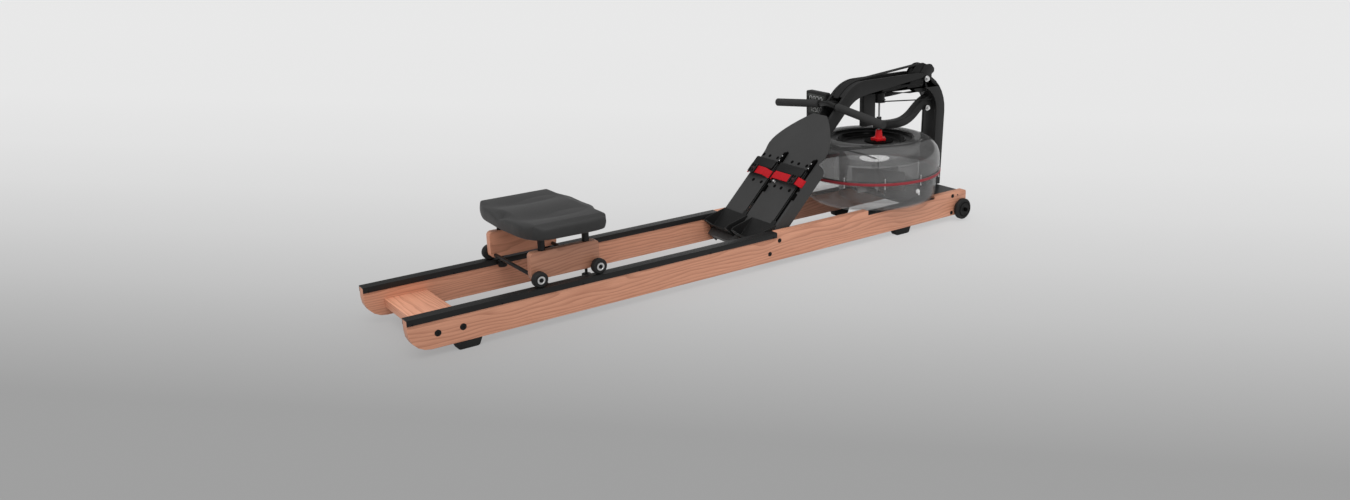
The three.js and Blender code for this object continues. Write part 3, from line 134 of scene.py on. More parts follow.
class Finish:
    """A material built from nodes, with a Principled shader at its end."""

    def __init__(self, name, **values):
        self.material = bpy.data.materials.new(name)
        self.material.use_nodes = True
        self.tree = self.material.node_tree
        self.shader = self.tree.nodes["Principled BSDF"]
        self.set(**values)

    def set(self, **values):
        for name, value in values.items():
            self.join(value, self.shader.inputs[name.replace("_", " ").title().replace("Ior", "IOR")])

    def join(self, value, socket):
        if isinstance(value, Wire):
            self.tree.links.new(value.socket, socket)
        elif socket.type == "RGBA" and len(value) == 3:
            socket.default_value = (*value, 1)
        else:
            socket.default_value = value

    def node(self, kind, settings=None, values=None, output=0):
        made = self.tree.nodes.new(kind)
        for name, value in (settings or {}).items():
            if name == "stops":
                ramp = made.color_ramp
                while len(ramp.elements) < len(value):
                    ramp.elements.new(1)
                for element, (place, colour) in zip(ramp.elements, value):
                    element.position = place
                    element.color = (*colour, 1)
            else:
                setattr(made, name, value)
        for name, value in (values or {}).items():
            self.join(value, made.inputs[name])
        return Wire(self, made.outputs[output])

    def place(self, scale=(1, 1, 1), turn=(0, 0, 0), move=(0, 0, 0)):
        where = self.node("ShaderNodeTexCoord", output="Object")
        return self.node("ShaderNodeMapping", None,
                         {"Vector": where, "Location": move, "Rotation": turn, "Scale": scale})

    def split(self, place):
        parts = self.node("ShaderNodeSeparateXYZ", None, {0: place}).socket.node
        return [Wire(self, parts.outputs[k]) for k in range(3)]

    def noise(self, place, scale, detail=3.0, roughness=0.5):
        return self.node("ShaderNodeTexNoise", None,
                         {"Vector": place, "Scale": scale, "Detail": detail, "Roughness": roughness})

    def ramp(self, factor, stops):
        return self.node("ShaderNodeValToRGB", {"stops": stops}, {"Fac": factor})

    def mix(self, factor, a, b):
        return self.node("ShaderNodeMix", {"data_type": "RGBA"}, {0: factor, 6: a, 7: b}, output=2)

    def bump(self, height, distance, strength=1.0):
        return self.node("ShaderNodeBump", None,
                         {"Height": height, "Distance": distance, "Strength": strength})


def grey(level):
    return (level, level, level)


def tint(colour, shade):
    return tuple(part * shade for part in colour)


# Ash wood: its tones, growth rings to the metre, and how the rings darken through a year
ASH_PALE, ASH_WARM, ASH_DARK = (0.66, 0.305, 0.188), (0.77, 0.375, 0.24), (0.42, 0.17, 0.098)
RINGS_TO_A_METRE, RING_SWAY, RING_LEAN, RING_FLATNESS = 190, 0.03, 0.004, 1.6
YEAR_TONES = [(0.0, grey(0.0)), (0.45, grey(0.12)), (0.82, grey(0.85)), (0.93, grey(1.0)),
              (1.0, grey(0.05))]
PORE_TONES = [(0.42, grey(1.0)), (0.62, grey(0.0))]
LATE_WOOD_SHARE, PORE_SHARE = 0.54, 0.22


def ash_wood(name, turn=(0, 0, 0), move=(0, 0, 0), shade=1.0):
    """Oiled ash: growth rings about a heart beside the board, with pores along the grain. All its tones are
    scaled by shade, which paints in light or shade for how the light falls on that board.
    """
    wood = Finish(name)
    grain = wood.place(turn=turn, move=move)
    drift = wood.node("ShaderNodeMapping", None, {"Vector": grain, "Scale": (1.3, 7, 7)})
    sway = wood.noise(drift, 2.2, 2.0)
    along, across, up = wood.split(grain)
    reach = across * across * RING_FLATNESS + up * up
    heart = reach.maths("SQRT", reach)
    rings = (heart + sway * RING_SWAY + along * RING_LEAN) * RINGS_TO_A_METRE
    late = wood.ramp(rings.maths("FRACT", rings), YEAR_TONES)
    thin = wood.node("ShaderNodeMapping", None, {"Vector": grain, "Scale": (14, 420, 420)})
    pores = wood.ramp(wood.noise(thin, 1.0, 3.0, 0.6), PORE_TONES)
    light = wood.mix(wood.noise(drift, 5.0, 2.0), tint(ASH_PALE, shade), tint(ASH_WARM, shade))
    depth = wood.node("ShaderNodeSeparateColor", None, {0: late})
    streak = wood.node("ShaderNodeSeparateColor", None, {0: pores})
    share = depth * LATE_WOOD_SHARE + streak * PORE_SHARE
    wood.set(base_color=wood.mix(share, light, tint(ASH_DARK, shade)), roughness=0.42 + share * 0.25,
             normal=wood.bump(1 - share, 0.0003, 0.35))
    wood.set(coat_weight=0.12, coat_roughness=0.3)
    return wood.material


def coated_metal(name, level, roughness=0.42, grit=0.00012):
    """Powder coat: fine orange peel with faint dust-like variation."""
    coat = Finish(name)
    where = coat.place()
    peel = coat.noise(where, 900, 2.0)
    cloud = coat.noise(where, 9, 3.0)
    coat.set(base_color=coat.mix(cloud, grey(level * 0.85), grey(level * 1.2)),
             roughness=roughness - 0.05 + cloud * 0.1, normal=coat.bump(peel, grit, 0.6))
    coat.set(specular_ior_level=0.22)
    return coat.material


def moulded_plastic(name, colour, roughness=0.4, grit=0.00008, scale=1400, shine=0.25):
    """Moulded plastic with a fine spark-eroded texture."""
    part = Finish(name)
    where = part.place()
    grain = part.noise(where, scale, 2.0)
    cloud = part.noise(where, 14, 2.0)
    part.set(base_color=part.mix(cloud, tint(colour, 0.88), tint(colour, 1.12)),
             roughness=roughness - 0.04 + cloud * 0.08, normal=part.bump(grain, grit, 0.5))
    part.set(specular_ior_level=shine)
    return part.material


def soft_rubber(name, level, roughness=0.75):
    """Matte rubber or foam with small pits."""
    rubber = Finish(name)
    where = rubber.place()
    pits = rubber.node("ShaderNodeTexVoronoi", None, {"Vector": where, "Scale": 700.0})
    cloud = rubber.noise(where, 20, 3.0)
    rubber.set(base_color=rubber.mix(cloud, grey(level * 0.8), grey(level * 1.25)),
               roughness=roughness + cloud * 0.1, normal=rubber.bump(pits, 0.0002, 0.5))
    rubber.set(specular_ior_level=0.2)
    return rubber.material


def seat_skin(name):
    """Moulded pad skin: leather-like pebbles over soft mottling."""
    skin = Finish(name)
    where = skin.place()
    pebbles = skin.node("ShaderNodeTexVoronoi", {"feature": "SMOOTH_F1"}, {"Vector": where, "Scale": 420.0})
    wrinkle = skin.noise(where, 160, 4.0, 0.6)
    cloud = skin.noise(where, 12, 3.0)
    skin.set(base_color=skin.mix(cloud, grey(0.028), grey(0.040)), roughness=0.5 + wrinkle * 0.14,
             normal=skin.bump(pebbles * 0.7 + wrinkle * 0.3, 0.0005, 0.45))
    skin.set(sheen_weight=0.08, sheen_roughness=0.4, specular_ior_level=0.35)
    return skin.material


def webbing(name, colour, turn, pitch=0.0016):
    """Woven strap: twill ribs on both diagonals of the strap's face."""
    strap = Finish(name)
    face = strap.place(turn=turn)
    ribs = []
    for side in (1, -1):
        slant = strap.node("ShaderNodeMapping", None, {"Vector": face, "Scale": (side, 1, 0)})
        ribs.append(strap.node("ShaderNodeTexWave", {"wave_type": "BANDS", "bands_direction": "DIAGONAL"},
                               {"Vector": slant, "Scale": 0.16 / pitch}))
    weave = ribs[0] * 0.5 + ribs[1] * 0.5
    fuzz = strap.noise(face, 500, 3.0)
    shade = weave * 0.6 + fuzz * 0.4
    strap.set(base_color=strap.mix(shade, tint(colour, 0.62), colour),
              roughness=0.55 + shade * 0.2, normal=strap.bump(weave, 0.0004, 0.8))
    strap.set(specular_ior_level=0.2)
    return strap.material


def brushed(name, level=0.55, roughness=0.3):
    """Plated steel with turning marks."""
    steel = Finish(name, metallic=1.0)
    where = steel.place(scale=(1, 1, 14))
    marks = steel.noise(where, 600, 2.0)
    steel.set(base_color=steel.mix(marks, grey(level * 0.8), grey(level)),
              roughness=roughness - 0.08 + marks * 0.16, normal=steel.bump(marks, 0.00005, 0.4))
    return steel.material


def smoky_wall(name, level, through, edge, roughness=0.05, gloss=0.6, index=1.5):
    """Smoky clear plastic: thin to look through straight on, denser towards its edges."""
    wall = Finish(name)
    haze = wall.noise(wall.place(), 7, 4.0)
    lean = wall.node("ShaderNodeLayerWeight", None, {"Blend": 0.35}, 1)
    wall.set(base_color=wall.mix(haze, grey(level * 0.9), grey(level * 1.1)),
             roughness=roughness + haze * 0.02, alpha=(lean ** 2) * (edge - through) + through)
    wall.set(specular_ior_level=gloss, ior=index)
    return wall.material


ASH_RAIL = ash_wood("ash_rail", move=(0.2, 0.05, -0.13))
ASH_RAIL_FAR = ash_wood("ash_rail_far", move=(1.7, -0.04, -0.15))
# Lit and shaded copies of one ash: the near seat panel's 0.72 is painted shade under the pad; the far
# panel's 1.1 and the crossboard's 1.15 are painted light on faces turned to the light.
ASH_PANEL_PAINTED_SHADE = ash_wood("ash_panel_painted_shade", turn=(0, math.radians(4), 0), move=(3.1, 0.21, -0.26), shade=0.72)
ASH_PANEL_FAR_PAINTED_LIGHT = ash_wood("ash_panel_far_painted_light", turn=(0, math.radians(4), 0), move=(2.6, 0.21, -0.26), shade=1.1)
ASH_BOARD_PAINTED_LIGHT = ash_wood("ash_board_painted_light", turn=(0, 0, math.radians(90)), move=(0, 0.93, 0.05), shade=1.15)
BLACK_COAT = coated_metal("black_coat", 0.018)
BOARD_COAT = coated_metal("board_coat", 0.047, 0.5)
TRACK_COAT = coated_metal("track_coat", 0.016, 0.36)
BLACK_PLASTIC = moulded_plastic("black_plastic", grey(0.012))
SOFT_BLACK = soft_rubber("soft_black", 0.018)
WHEEL_TYRE = soft_rubber("wheel_tyre", 0.019, 0.55)
GRIP_FOAM = soft_rubber("grip_foam", 0.036, 0.82)
PAD_SKIN = seat_skin("pad_skin")
RED_PLASTIC = moulded_plastic("red_plastic", (0.64, 0.011, 0.016), 0.35)
RING_RED = moulded_plastic("ring_red", (0.30, 0.035, 0.045), 0.5)
STRAP_RED = webbing("strap_red", (0.56, 0.006, 0.014), (0, BOARD_ANGLE, 0))
BELT_BLACK = webbing("belt_black", grey(0.02), (0, 0, 0), 0.002)
STEEL = brushed("steel")
BRIGHT_STEEL = brushed("bright_steel", 0.9, 0.34)
SHELL_UPPER = smoky_wall("shell_upper", 0.085, 0.55, 0.82, 0.04, 0.75, 1.95)
SHELL_LOWER = smoky_wall("shell_lower", 0.27, 0.1, 0.5, 0.04, 0.8, 1.9)
SLEEVE_WALL = smoky_wall("sleeve_wall", 0.34, 0.12, 0.7)
WATER = smoky_wall("water", 0.22, 0.03, 0.14, 0.0)
LID_GLOSS = moulded_plastic("lid_gloss", grey(0.004), 0.2, 0.000004, 300, 0.1)
HUB_BLACK = moulded_plastic("hub_black", grey(0.003), 0.5, 0.00001, 300, 0.03)
WHITE_PLASTIC = moulded_plastic("white_plastic", grey(0.75), 0.35)
DEEP_BLACK = moulded_plastic("deep_black", grey(0.002), 0.6, 0.00001, 300, 0.04)
BUCKLE_DARK = moulded_plastic("buckle_dark", (0.05, 0.02, 0.022), 0.45)
SCREW_BLACK = coated_metal("screw_black", 0.008, 0.35)
LCD_GLASS = moulded_plastic("lcd_glass", (0.03, 0.034, 0.029), 0.2, 0.000005, 300)
LCD_SEGMENT = moulded_plastic("lcd_segment", grey(0.5), 0.4, 0.00001)


# Shaping
def at(x, y, z):
    """A place in millimetres from the rails' tail, their middle and the floor."""
    return Vector((TAIL_X + x * MM, y * MM, z * MM))


def on_board(along, y, up):
    """A place in millimetres up the footboard's face and out from it."""
    reach, rise = math.cos(BOARD_ANGLE), math.sin(BOARD_ANGLE)
    return at(BOARD_FOOT_X + along * reach - up * rise, y, BOARD_FOOT_Z + along * rise + up * reach)


def soften(piece, edge, segments=2, angle=35):
    """Rounds a piece's sharp edges and shades it smoothly between them."""
    for polygon in piece.data.polygons:
        polygon.use_smooth = True
    if edge:
        bevel = piece.modifiers.new("edge", "BEVEL")
        bevel.limit_method = "ANGLE"
        bevel.angle_limit = math.radians(angle)
        bevel.width = edge
        bevel.segments = segments
        bevel.harden_normals = True
    else:
        split = piece.modifiers.new("split", "EDGE_SPLIT")
        split.split_angle = math.radians(angle)


def piece_of(form, name, material, body, edge=0.0, segments=2):
    """Makes a finished piece of a form and lets it ride on a body."""
    data = bpy.data.meshes.new(name)
    form.to_mesh(data)
    form.free()
    data.materials.append(material)
    piece = bpy.data.objects.new(name, data)
    bpy.context.scene.collection.objects.link(piece)
    soften(piece, edge, segments)
    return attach(piece, body) if body else piece


def spun(form, edges, centre, axis, steps):
    """Turns an outline of edges about an axis into a closed body."""
    bmesh.ops.spin(form, geom=edges + form.verts[:], cent=centre, axis=axis, angle=math.tau, steps=steps,
                   use_merge=True)
    bmesh.ops.remove_doubles(form, verts=form.verts, dist=SEAM_REACH)
    bmesh.ops.recalc_face_normals(form, faces=form.faces)


def turned(outline, centre, axis=(0, 0, 1), steps=96, form=None):
    """A turned body from a closed outline of (radius, height) in millimetres along the axis."""
    whole = form or bmesh.new()
    own = bmesh.new()
    axis = Vector(axis)
    out = Vector((0, 0, 1)) if abs(axis.z) < 0.5 else Vector((1, 0, 0))
    rim = [own.verts.new(centre + out * radius * MM + axis * height * MM) for radius, height in outline]
    edges = [own.edges.new((a, b)) for a, b in zip(rim, rim[1:] + rim[:1]) if (a.co - b.co).length > 1e-7]
    spun(own, edges, centre, axis, steps)
    spare = bpy.data.meshes.new("spare")
    own.to_mesh(spare)
    own.free()
    whole.from_mesh(spare)
    bpy.data.meshes.remove(spare)
    return whole


def arc(radius, height, bend, start, end, steps):
    """Points of a rounded corner, in degrees from outwards to upwards."""
    turns = [math.radians(start + (end - start) * k / steps) for k in range(steps + 1)]
    return [(radius + bend * math.cos(t), height + bend * math.sin(t)) for t in turns]


def box_on(form, low, high, place=at):
    """Adds a block between two corners to a form."""
    made = bmesh.ops.create_cube(form, size=1.0)["verts"]
    for corner in made:
        x, y, z = (low[i] if corner.co[i] < 0 else high[i] for i in range(3))
        corner.co = place(x, y, z)
    return form


def rod(form, start, end, radius, sides=16):
    """Adds a round bar between two places to a form, radius in millimetres."""
    line = end - start
    where = Matrix.Translation((start + end) / 2) @ line.to_track_quat("Z", "Y").to_matrix().to_4x4()
    bmesh.ops.create_cone(form, cap_ends=True, segments=sides, radius1=radius * MM, radius2=radius * MM,
                          depth=line.length, matrix=where)
    return form


def bored(piece, centre, radius, low, high):
    """Bores an upright hole through a piece, in millimetres."""
    data = bpy.data.meshes.new("bit")
    form = turned([(0, low), (radius, low), (radius, high), (0, high)], centre, steps=32)
    form.to_mesh(data)
    form.free()
    bit = bpy.data.objects.new("bit", data)
    bpy.context.scene.collection.objects.link(bit)
    hole = piece.modifiers.new("hole", "BOOLEAN")
    hole.operation = "DIFFERENCE"
    hole.object = bit
    piece.modifiers.move(len(piece.modifiers) - 1, 0)
    with bpy.context.temp_override(object=piece, active_object=piece, selected_objects=[piece]):
        bpy.ops.object.modifier_apply(modifier="hole")
    bpy.data.objects.remove(bit)


def body_name(name):
    """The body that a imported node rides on."""
    found = body_of(nodes[name])
    return found if isinstance(found, str) else found[0]


def finer(name, material, axis, steps=64, edge=0.0006):
    """Spins a turned node's own section again in more steps."""
    node = nodes[name]
    low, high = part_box(name)
    centre = (low + high) / 2
    form = bmesh.new()
    form.from_mesh(node.data)
    bmesh.ops.remove_doubles(form, verts=form.verts, dist=WELD_REACH)
    axis = Vector(axis)
    side = Vector((0, 1, 0)) if abs(axis.z) > 0.5 else Vector((1, 0, 0))
    out = axis.cross(side)
    everything = form.verts[:] + form.edges[:] + form.faces[:]
    bmesh.ops.bisect_plane(form, geom=everything, plane_co=centre, plane_no=side, dist=SEAM_REACH,
                           clear_inner=True, clear_outer=True)
    bmesh.ops.delete(form, geom=form.faces[:], context="FACES_ONLY")
    gone = [v for v in form.verts if (v.co - centre).dot(out) < -SEAM_REACH]
    bmesh.ops.delete(form, geom=gone, context="VERTS")
    spun(form, form.edges[:], centre, axis, steps)
    piece = piece_of(form, name + "_turned", material, body_name(name), edge)
    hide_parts(name)
    return piece


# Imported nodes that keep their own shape
def dress(names, material, edge=0.0006, segments=2):
    """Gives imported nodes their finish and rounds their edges."""
    for name in names.split():
        piece = nodes[name]
        piece.data.materials.clear()
        piece.data.materials.append(material)
        weld = piece.modifiers.new("weld", "WELD")
        weld.merge_threshold = WELD_REACH
        if edge:
            flat = piece.modifiers.new("flat", "DECIMATE")
            flat.decimate_type = "DISSOLVE"
            flat.angle_limit = math.radians(0.4)
        soften(piece, edge, segments)


dress("rail_near", ASH_RAIL, 0.0022, 3)
dress("rail_far", ASH_RAIL_FAR, 0.0022, 3)
dress("rear_crossboard", ASH_BOARD_PAINTED_LIGHT, 0.0015)
dress("seat_panel_near", ASH_PANEL_PAINTED_SHADE, 0.002, 3)
dress("seat_panel_far", ASH_PANEL_FAR_PAINTED_LIGHT, 0.002, 3)
dress("track_near track_far", TRACK_COAT, 0.0005)
dress("base_tray drive_post arch_core bearing_arm pulley_bracket seat_base seat_axle_rear "
      "seat_axle_front", BLACK_COAT)
dress("arch_plate_near arch_plate_far", BLACK_COAT, 0.0014, 3)
dress("footboard", BOARD_COAT, 0)
dress("toe_plate_near toe_plate_far", BLACK_PLASTIC, 0.0015)
dress("heel_rest_near heel_rest_far monitor_case drive_spool buckle_near buckle_far handle_bar",
      BLACK_PLASTIC)
dress("foot_rear_near foot_rear_far foot_front_near foot_front_far", SOFT_BLACK, 0.0015)
dress("monitor_button_1 monitor_button_2 bungee", SOFT_BLACK, 0)
dress("grip_near grip_far", GRIP_FOAM, 0.004, 4)
dress("strap_near strap_far", STRAP_RED, 0.0004)
dress("level_knob", RED_PLASTIC, 0.001)
dress("impeller", STEEL, 0.0004)
dress("water", WATER, 0)
dress("monitor_screen", LCD_GLASS, 0.0003)
dress("seat_pad", PAD_SKIN, 0)

# Wheels, rollers and rings, turned in finer steps
for end in ("rear", "front"):
    for side, sign in SIDES:
        finer(f"seat_wheel_{end}_{side}", WHEEL_TYRE, (0, 1, 0), 64, 0.0008)
        finer(f"guide_roller_{end}_{side}", BLACK_PLASTIC, (0, 0, 1), 48, 0.0005)
for side, sign in SIDES:
    finer(f"transport_wheel_{side}", WHEEL_TYRE, (0, 1, 0), 72, 0.0012)
finer("top_pulley", BLACK_PLASTIC, (0, 1, 0), 72)
finer("tank_gasket", RING_RED, (0, 0, 1), 128, 0.0008)
finer("inner_tank", SLEEVE_WALL, (0, 0, 1), 96, 0)

# The tank's two clear shells, in millimetres; the shaft stands off the shells' middle
tank_low, tank_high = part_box("tank_upper_shell")
TANK = Vector((tank_low.x + tank_high.x, 0, 0)) / 2
SHAFT = Vector((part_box("inner_tank")[0].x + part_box("inner_tank")[1].x, 0, 0)) / 2
FLOOR_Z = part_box("tank_lower_shell")[0].z / MM
JOINT_LOW, JOINT_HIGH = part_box("tank_gasket")[0].z / MM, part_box("tank_gasket")[1].z / MM
GAP, WALL_THICK, ROUND_STEPS = 0.3, 4, 128
WALL_RADIUS, FLANGE_RADIUS, FLANGE_THICK = 240.5, 243.5, 3
DISH_RADIUS, DISH_CORNER = 229.5, 35
outside = arc(DISH_RADIUS - DISH_CORNER, FLOOR_Z + DISH_CORNER, DISH_CORNER, -90, 0, 10)
inside = arc(DISH_RADIUS - DISH_CORNER, FLOOR_Z + DISH_CORNER, DISH_CORNER - WALL_THICK, 0, -90, 10)
lip = JOINT_LOW - GAP
lower = turned([(0, FLOOR_Z)] + outside
               + [(DISH_RADIUS, lip - FLANGE_THICK), (FLANGE_RADIUS, lip - FLANGE_THICK),
                  (FLANGE_RADIUS, lip), (DISH_RADIUS - WALL_THICK, lip)]
               + inside + [(0, FLOOR_Z + WALL_THICK)], TANK, steps=ROUND_STEPS)
lower_shell = piece_of(lower, "tank_dish", SHELL_LOWER, "frame", 0)
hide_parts("tank_lower_shell")

SHOULDER_Z, SHOULDER_RADIUS, MOUTH_RADIUS, LID_Z = 252, 69.5, 150.3, 290
MOUTH_WALL, LEDGE_RADIUS = 154.5, 141
crest_z = SHOULDER_Z + SHOULDER_RADIUS
ledge_z = LID_Z - GAP
outside = arc(WALL_RADIUS - SHOULDER_RADIUS, SHOULDER_Z, SHOULDER_RADIUS, 0, 90, 16)
inside = arc(WALL_RADIUS - SHOULDER_RADIUS, SHOULDER_Z, SHOULDER_RADIUS - WALL_THICK, 90, 0, 16)
lip = JOINT_HIGH + GAP
upper = turned([(WALL_RADIUS - WALL_THICK, lip), (FLANGE_RADIUS, lip),
                (FLANGE_RADIUS, lip + FLANGE_THICK), (WALL_RADIUS, lip + FLANGE_THICK)]
               + outside
               + [(MOUTH_RADIUS + 1.2, crest_z - 0.8), (MOUTH_RADIUS, crest_z - 2.4),
                  (MOUTH_RADIUS, ledge_z), (LEDGE_RADIUS, ledge_z), (LEDGE_RADIUS, ledge_z - WALL_THICK),
                  (MOUTH_WALL, ledge_z - WALL_THICK), (MOUTH_WALL, crest_z - WALL_THICK)]
               + inside, TANK, steps=ROUND_STEPS)
upper_shell = piece_of(upper, "tank_dome", SHELL_UPPER, "frame", 0)
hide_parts("tank_upper_shell")

# The lid: a rim, a step and two ridges, bored for the shaft, with a hub round the bore
LID_TOP, RIM_TOP, STEP_TOP = LID_Z + 6, 317, 309
SPIGOT_RADIUS, SPIGOT_DEPTH, RIDGE_HALF, BORE_RADIUS = 137, 5, 3, 3.9
RIM_RADIUS, OUTER_RIDGE, INNER_RIDGE, HUB_RADIUS = 147, 120, 98, 51
lid = turned([(0, LID_Z - SPIGOT_DEPTH), (SPIGOT_RADIUS, LID_Z - SPIGOT_DEPTH), (SPIGOT_RADIUS, LID_Z),
              (MOUTH_RADIUS - GAP, LID_Z), (MOUTH_RADIUS - GAP, RIM_TOP - RIDGE_HALF)]
             + arc(RIM_RADIUS, RIM_TOP - RIDGE_HALF, RIDGE_HALF, 0, 180, 8)
             + [(142, STEP_TOP + 1), (139, STEP_TOP), (125, STEP_TOP)]
             + arc(OUTER_RIDGE, STEP_TOP, RIDGE_HALF, 0, 180, 8)
             + [(112, LID_TOP + 3), (109, LID_TOP), (102, LID_TOP)]
             + arc(INNER_RIDGE, LID_TOP, RIDGE_HALF, 0, 180, 8)
             + [(93, LID_TOP), (0, LID_TOP)], TANK, steps=ROUND_STEPS)
lid_piece = piece_of(lid, "tank_cover", LID_GLOSS, "frame", 0)
bored(lid_piece, SHAFT, BORE_RADIUS, LID_Z - 20, LID_Z + 20)
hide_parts("tank_lid")
hub = turned([(BORE_RADIUS, LID_TOP + 0.05), (HUB_RADIUS, LID_TOP + 0.05), (HUB_RADIUS, LID_TOP + 1.5)]
             + arc(HUB_RADIUS - 1.5, LID_TOP + 1.5, 1.5, 0, 90, 4)
             + [(BORE_RADIUS, LID_TOP + 3)], SHAFT, steps=96)
piece_of(hub, "tank_hub", HUB_BLACK, "frame", 0)


# Screws round the tank's joint, and the drain plug
def round_tank(degrees, radius, height):
    """A place about the tank's middle, in degrees from the nose and millimetres."""
    turn = math.radians(degrees)
    return TANK + Vector((math.cos(turn), math.sin(turn), 0)) * radius * MM + Vector((0, 0, height * MM))


SCREW_COUNT, FIRST_SCREW, SCREW_STEP, SCREW_CIRCLE = 11, -154.2, 32.7, 242.3
SCREW_PARTS = ((188, 222, 1.4, 10), (220, 223, 2.2, 12), (187, 190.5, 2.6, 6))
screws = bmesh.new()
for k in range(SCREW_COUNT):
    turn = FIRST_SCREW + SCREW_STEP * k
    for low_end, high_end, radius, sides in SCREW_PARTS:
        rod(screws, round_tank(turn, SCREW_CIRCLE, low_end), round_tank(turn, SCREW_CIRCLE, high_end),
            radius, sides)
piece_of(screws, "tank_screws", BRIGHT_STEEL, "frame", 0.0003)

PLUG_TURN, PLUG_Z = -88.5, 163
PLUG_SECTION = [(0, -3), (8, -3), (8, 0), (6.5, 1), (6.5, 2), (5, 2.4), (5, 4.4), (4, 5), (0, 5)]
SPOUT_PROUD, SPOUT_DROP, SPOUT_START, SPOUT_RADIUS = 4.5, 12, 4, 2.6
way = (round_tank(PLUG_TURN, DISH_RADIUS, 0) - TANK).normalized()
plug = turned(PLUG_SECTION, round_tank(PLUG_TURN, DISH_RADIUS, PLUG_Z), way, 32)
rod(plug, round_tank(PLUG_TURN, DISH_RADIUS + SPOUT_PROUD, PLUG_Z - SPOUT_DROP),
    round_tank(PLUG_TURN, DISH_RADIUS + SPOUT_PROUD, PLUG_Z - SPOUT_START), SPOUT_RADIUS, 10)
piece_of(plug, "drain_plug", WHITE_PLASTIC, "frame", 0.0003)

# Bearings and axle screws of the seat wheels
WHEEL_FACE_Y, WHEEL_Z = 169, 136
BEARING_SECTION = [(6.2, -1.5), (11.4, -1.5), (11.4, 0.5), (10.8, 0.9), (8.2, 0.9), (7.6, 0.3), (6.2, 0.3)]
AXLE_SCREW_SECTION = [(0, -1.5), (6, -1.5), (6, 1.3), (5, 1.9), (2.6, 1.9), (2.2, 0.6), (0, 0.6)]
for end, x in (("rear", 374.8), ("front", 556.6)):
    for side, sign in SIDES:
        wheel = f"seat_wheel_{end}_{side}"
        face, out = at(x, sign * WHEEL_FACE_Y, WHEEL_Z), (0, sign, 0)
        ring = turned(BEARING_SECTION, face, out, 48)
        piece_of(ring, wheel + "_bearing", BRIGHT_STEEL, body_name(wheel), 0)
        cap = turned(AXLE_SCREW_SECTION, face, out, 32)
        piece_of(cap, wheel + "_screw", SCREW_BLACK, body_name(wheel), 0)

# Hubs of the transport wheels
NUB_SECTION = [(0, -2), (7, -2), (7, 7), (6, 9), (2.5, 9), (2, 7), (0, 7)]
NUB_RING_SECTION = [(24, -1), (26, -1), (26, 0.4), (24, 0.4)]
for side, sign in SIDES:
    wheel = f"transport_wheel_{side}"
    low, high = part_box(wheel)
    face = Vector(((low.x + high.x) / 2, low.y if sign < 0 else high.y, (low.z + high.z) / 2))
    nub = turned(NUB_SECTION, face, (0, sign, 0), 32)
    turned(NUB_RING_SECTION, face, (0, sign, 0), 64, nub)
    piece_of(nub, wheel + "_nub", DEEP_BLACK, body_name(wheel), 0)


# Bolts and screws of the rails, tracks and arch
def cap_bolt(form, place, way, radius=7.0, proud=1.6, socket=3.0):
    """A low round bolt head with a socket."""
    turned([(0, -1), (radius, -1), (radius, proud * 0.5), (radius * 0.82, proud), (socket, proud),
            (socket * 0.9, 0.1), (0, 0.1)], place, way, 24, form)


RAIL_FACE_Y, TRACK_OUTER_Y, TRACK_INNER_Y, TRACK_SCREW_Z = 172, 174.8, 143.2, 100.5
TAIL_BOLTS, TAIL_BOLT_RADIUS = ((78, 62), (146, 62)), 9.0
RAIL_BOLTS, NOSE_PIN = ((1192, 86), (1153, 49), (1981, 94), (1977, 33)), (2007, 94)
TRACK_SCREWS = (14.5, 257, 497, 681, 926, 1167)
bolts = bmesh.new()
for side, sign in SIDES:
    out = (0, sign, 0)
    for x, z in TAIL_BOLTS:
        cap_bolt(bolts, at(x, sign * RAIL_FACE_Y, z), out, TAIL_BOLT_RADIUS)
    for x, z in RAIL_BOLTS:
        cap_bolt(bolts, at(x, sign * RAIL_FACE_Y, z), out)
    cap_bolt(bolts, at(NOSE_PIN[0], sign * RAIL_FACE_Y, NOSE_PIN[1]), out, 2.6, 0.8, 1.0)
    for x in TRACK_SCREWS:
        cap_bolt(bolts, at(x, sign * TRACK_OUTER_Y, TRACK_SCREW_Z), out, 3.2, 0.9, 1.4)
        cap_bolt(bolts, at(x, sign * TRACK_INNER_Y, TRACK_SCREW_Z), (0, -sign, 0), 3.2, 0.15, 1.4)
piece_of(bolts, "rail_bolts", SCREW_BLACK, "frame", 0)

ARCH_NUTS = ((1968, 42.5, 501, 9.5), (1992, 25.7, 391, 8.5))
nuts = bmesh.new()
for x, y, z, radius in ARCH_NUTS:
    for side, sign in SIDES:
        face = at(x, sign * y, z)
        step = Vector((0, sign * MM, 0))
        for near_face, far_face, across, sides in ((-1, 1.2, radius + 1.6, 32), (1.2, 6.4, radius - 0.6, 6),
                                                   (6.4, 8.6, 4.6, 20)):
            rod(nuts, face + step * near_face, face + step * far_face, across, sides)
piece_of(nuts, "arch_nuts", BRIGHT_STEEL, "frame", 0.0006)

# Slots of the footboard: black sheets behind them and black strips along their edges as painted shade, rows
# of holes drawn as black discs of painted shade, latches and pins
SLOT_YS = (30, -120)
SLOT_SHADE_SHEETS = (((-30, -130, -7.2), (274, -110, -4.9)), ((44, 20, -7.2), (274, 40, -4.9)))
STRIP_OFF, STRIP_HALF, STRIP_START, STRIP_END = 7.6, 1.5, -20, 262
HOLE_ROWS = ((233, (131, 99, 57, -20, -54, -95)), (133, (100, 57, -15, -49, -92)))
HOLE_RADIUS = 6.2
LATCHES = ((213, 257, -9, -1, 9), (213, 257, 1, 9, 5), (104, 127, -19, -9.6, 8), (138, 146, -17, -9, 5))
# Black sheets behind the slots: painted shade, a dark sheet where the slots show only shade.
shade_sheets = bmesh.new()
for low_corner, high_corner in SLOT_SHADE_SHEETS:
    box_on(shade_sheets, low_corner, high_corner, on_board)
piece_of(shade_sheets, "slot_painted_shade", DEEP_BLACK, "frame", 0.0004)

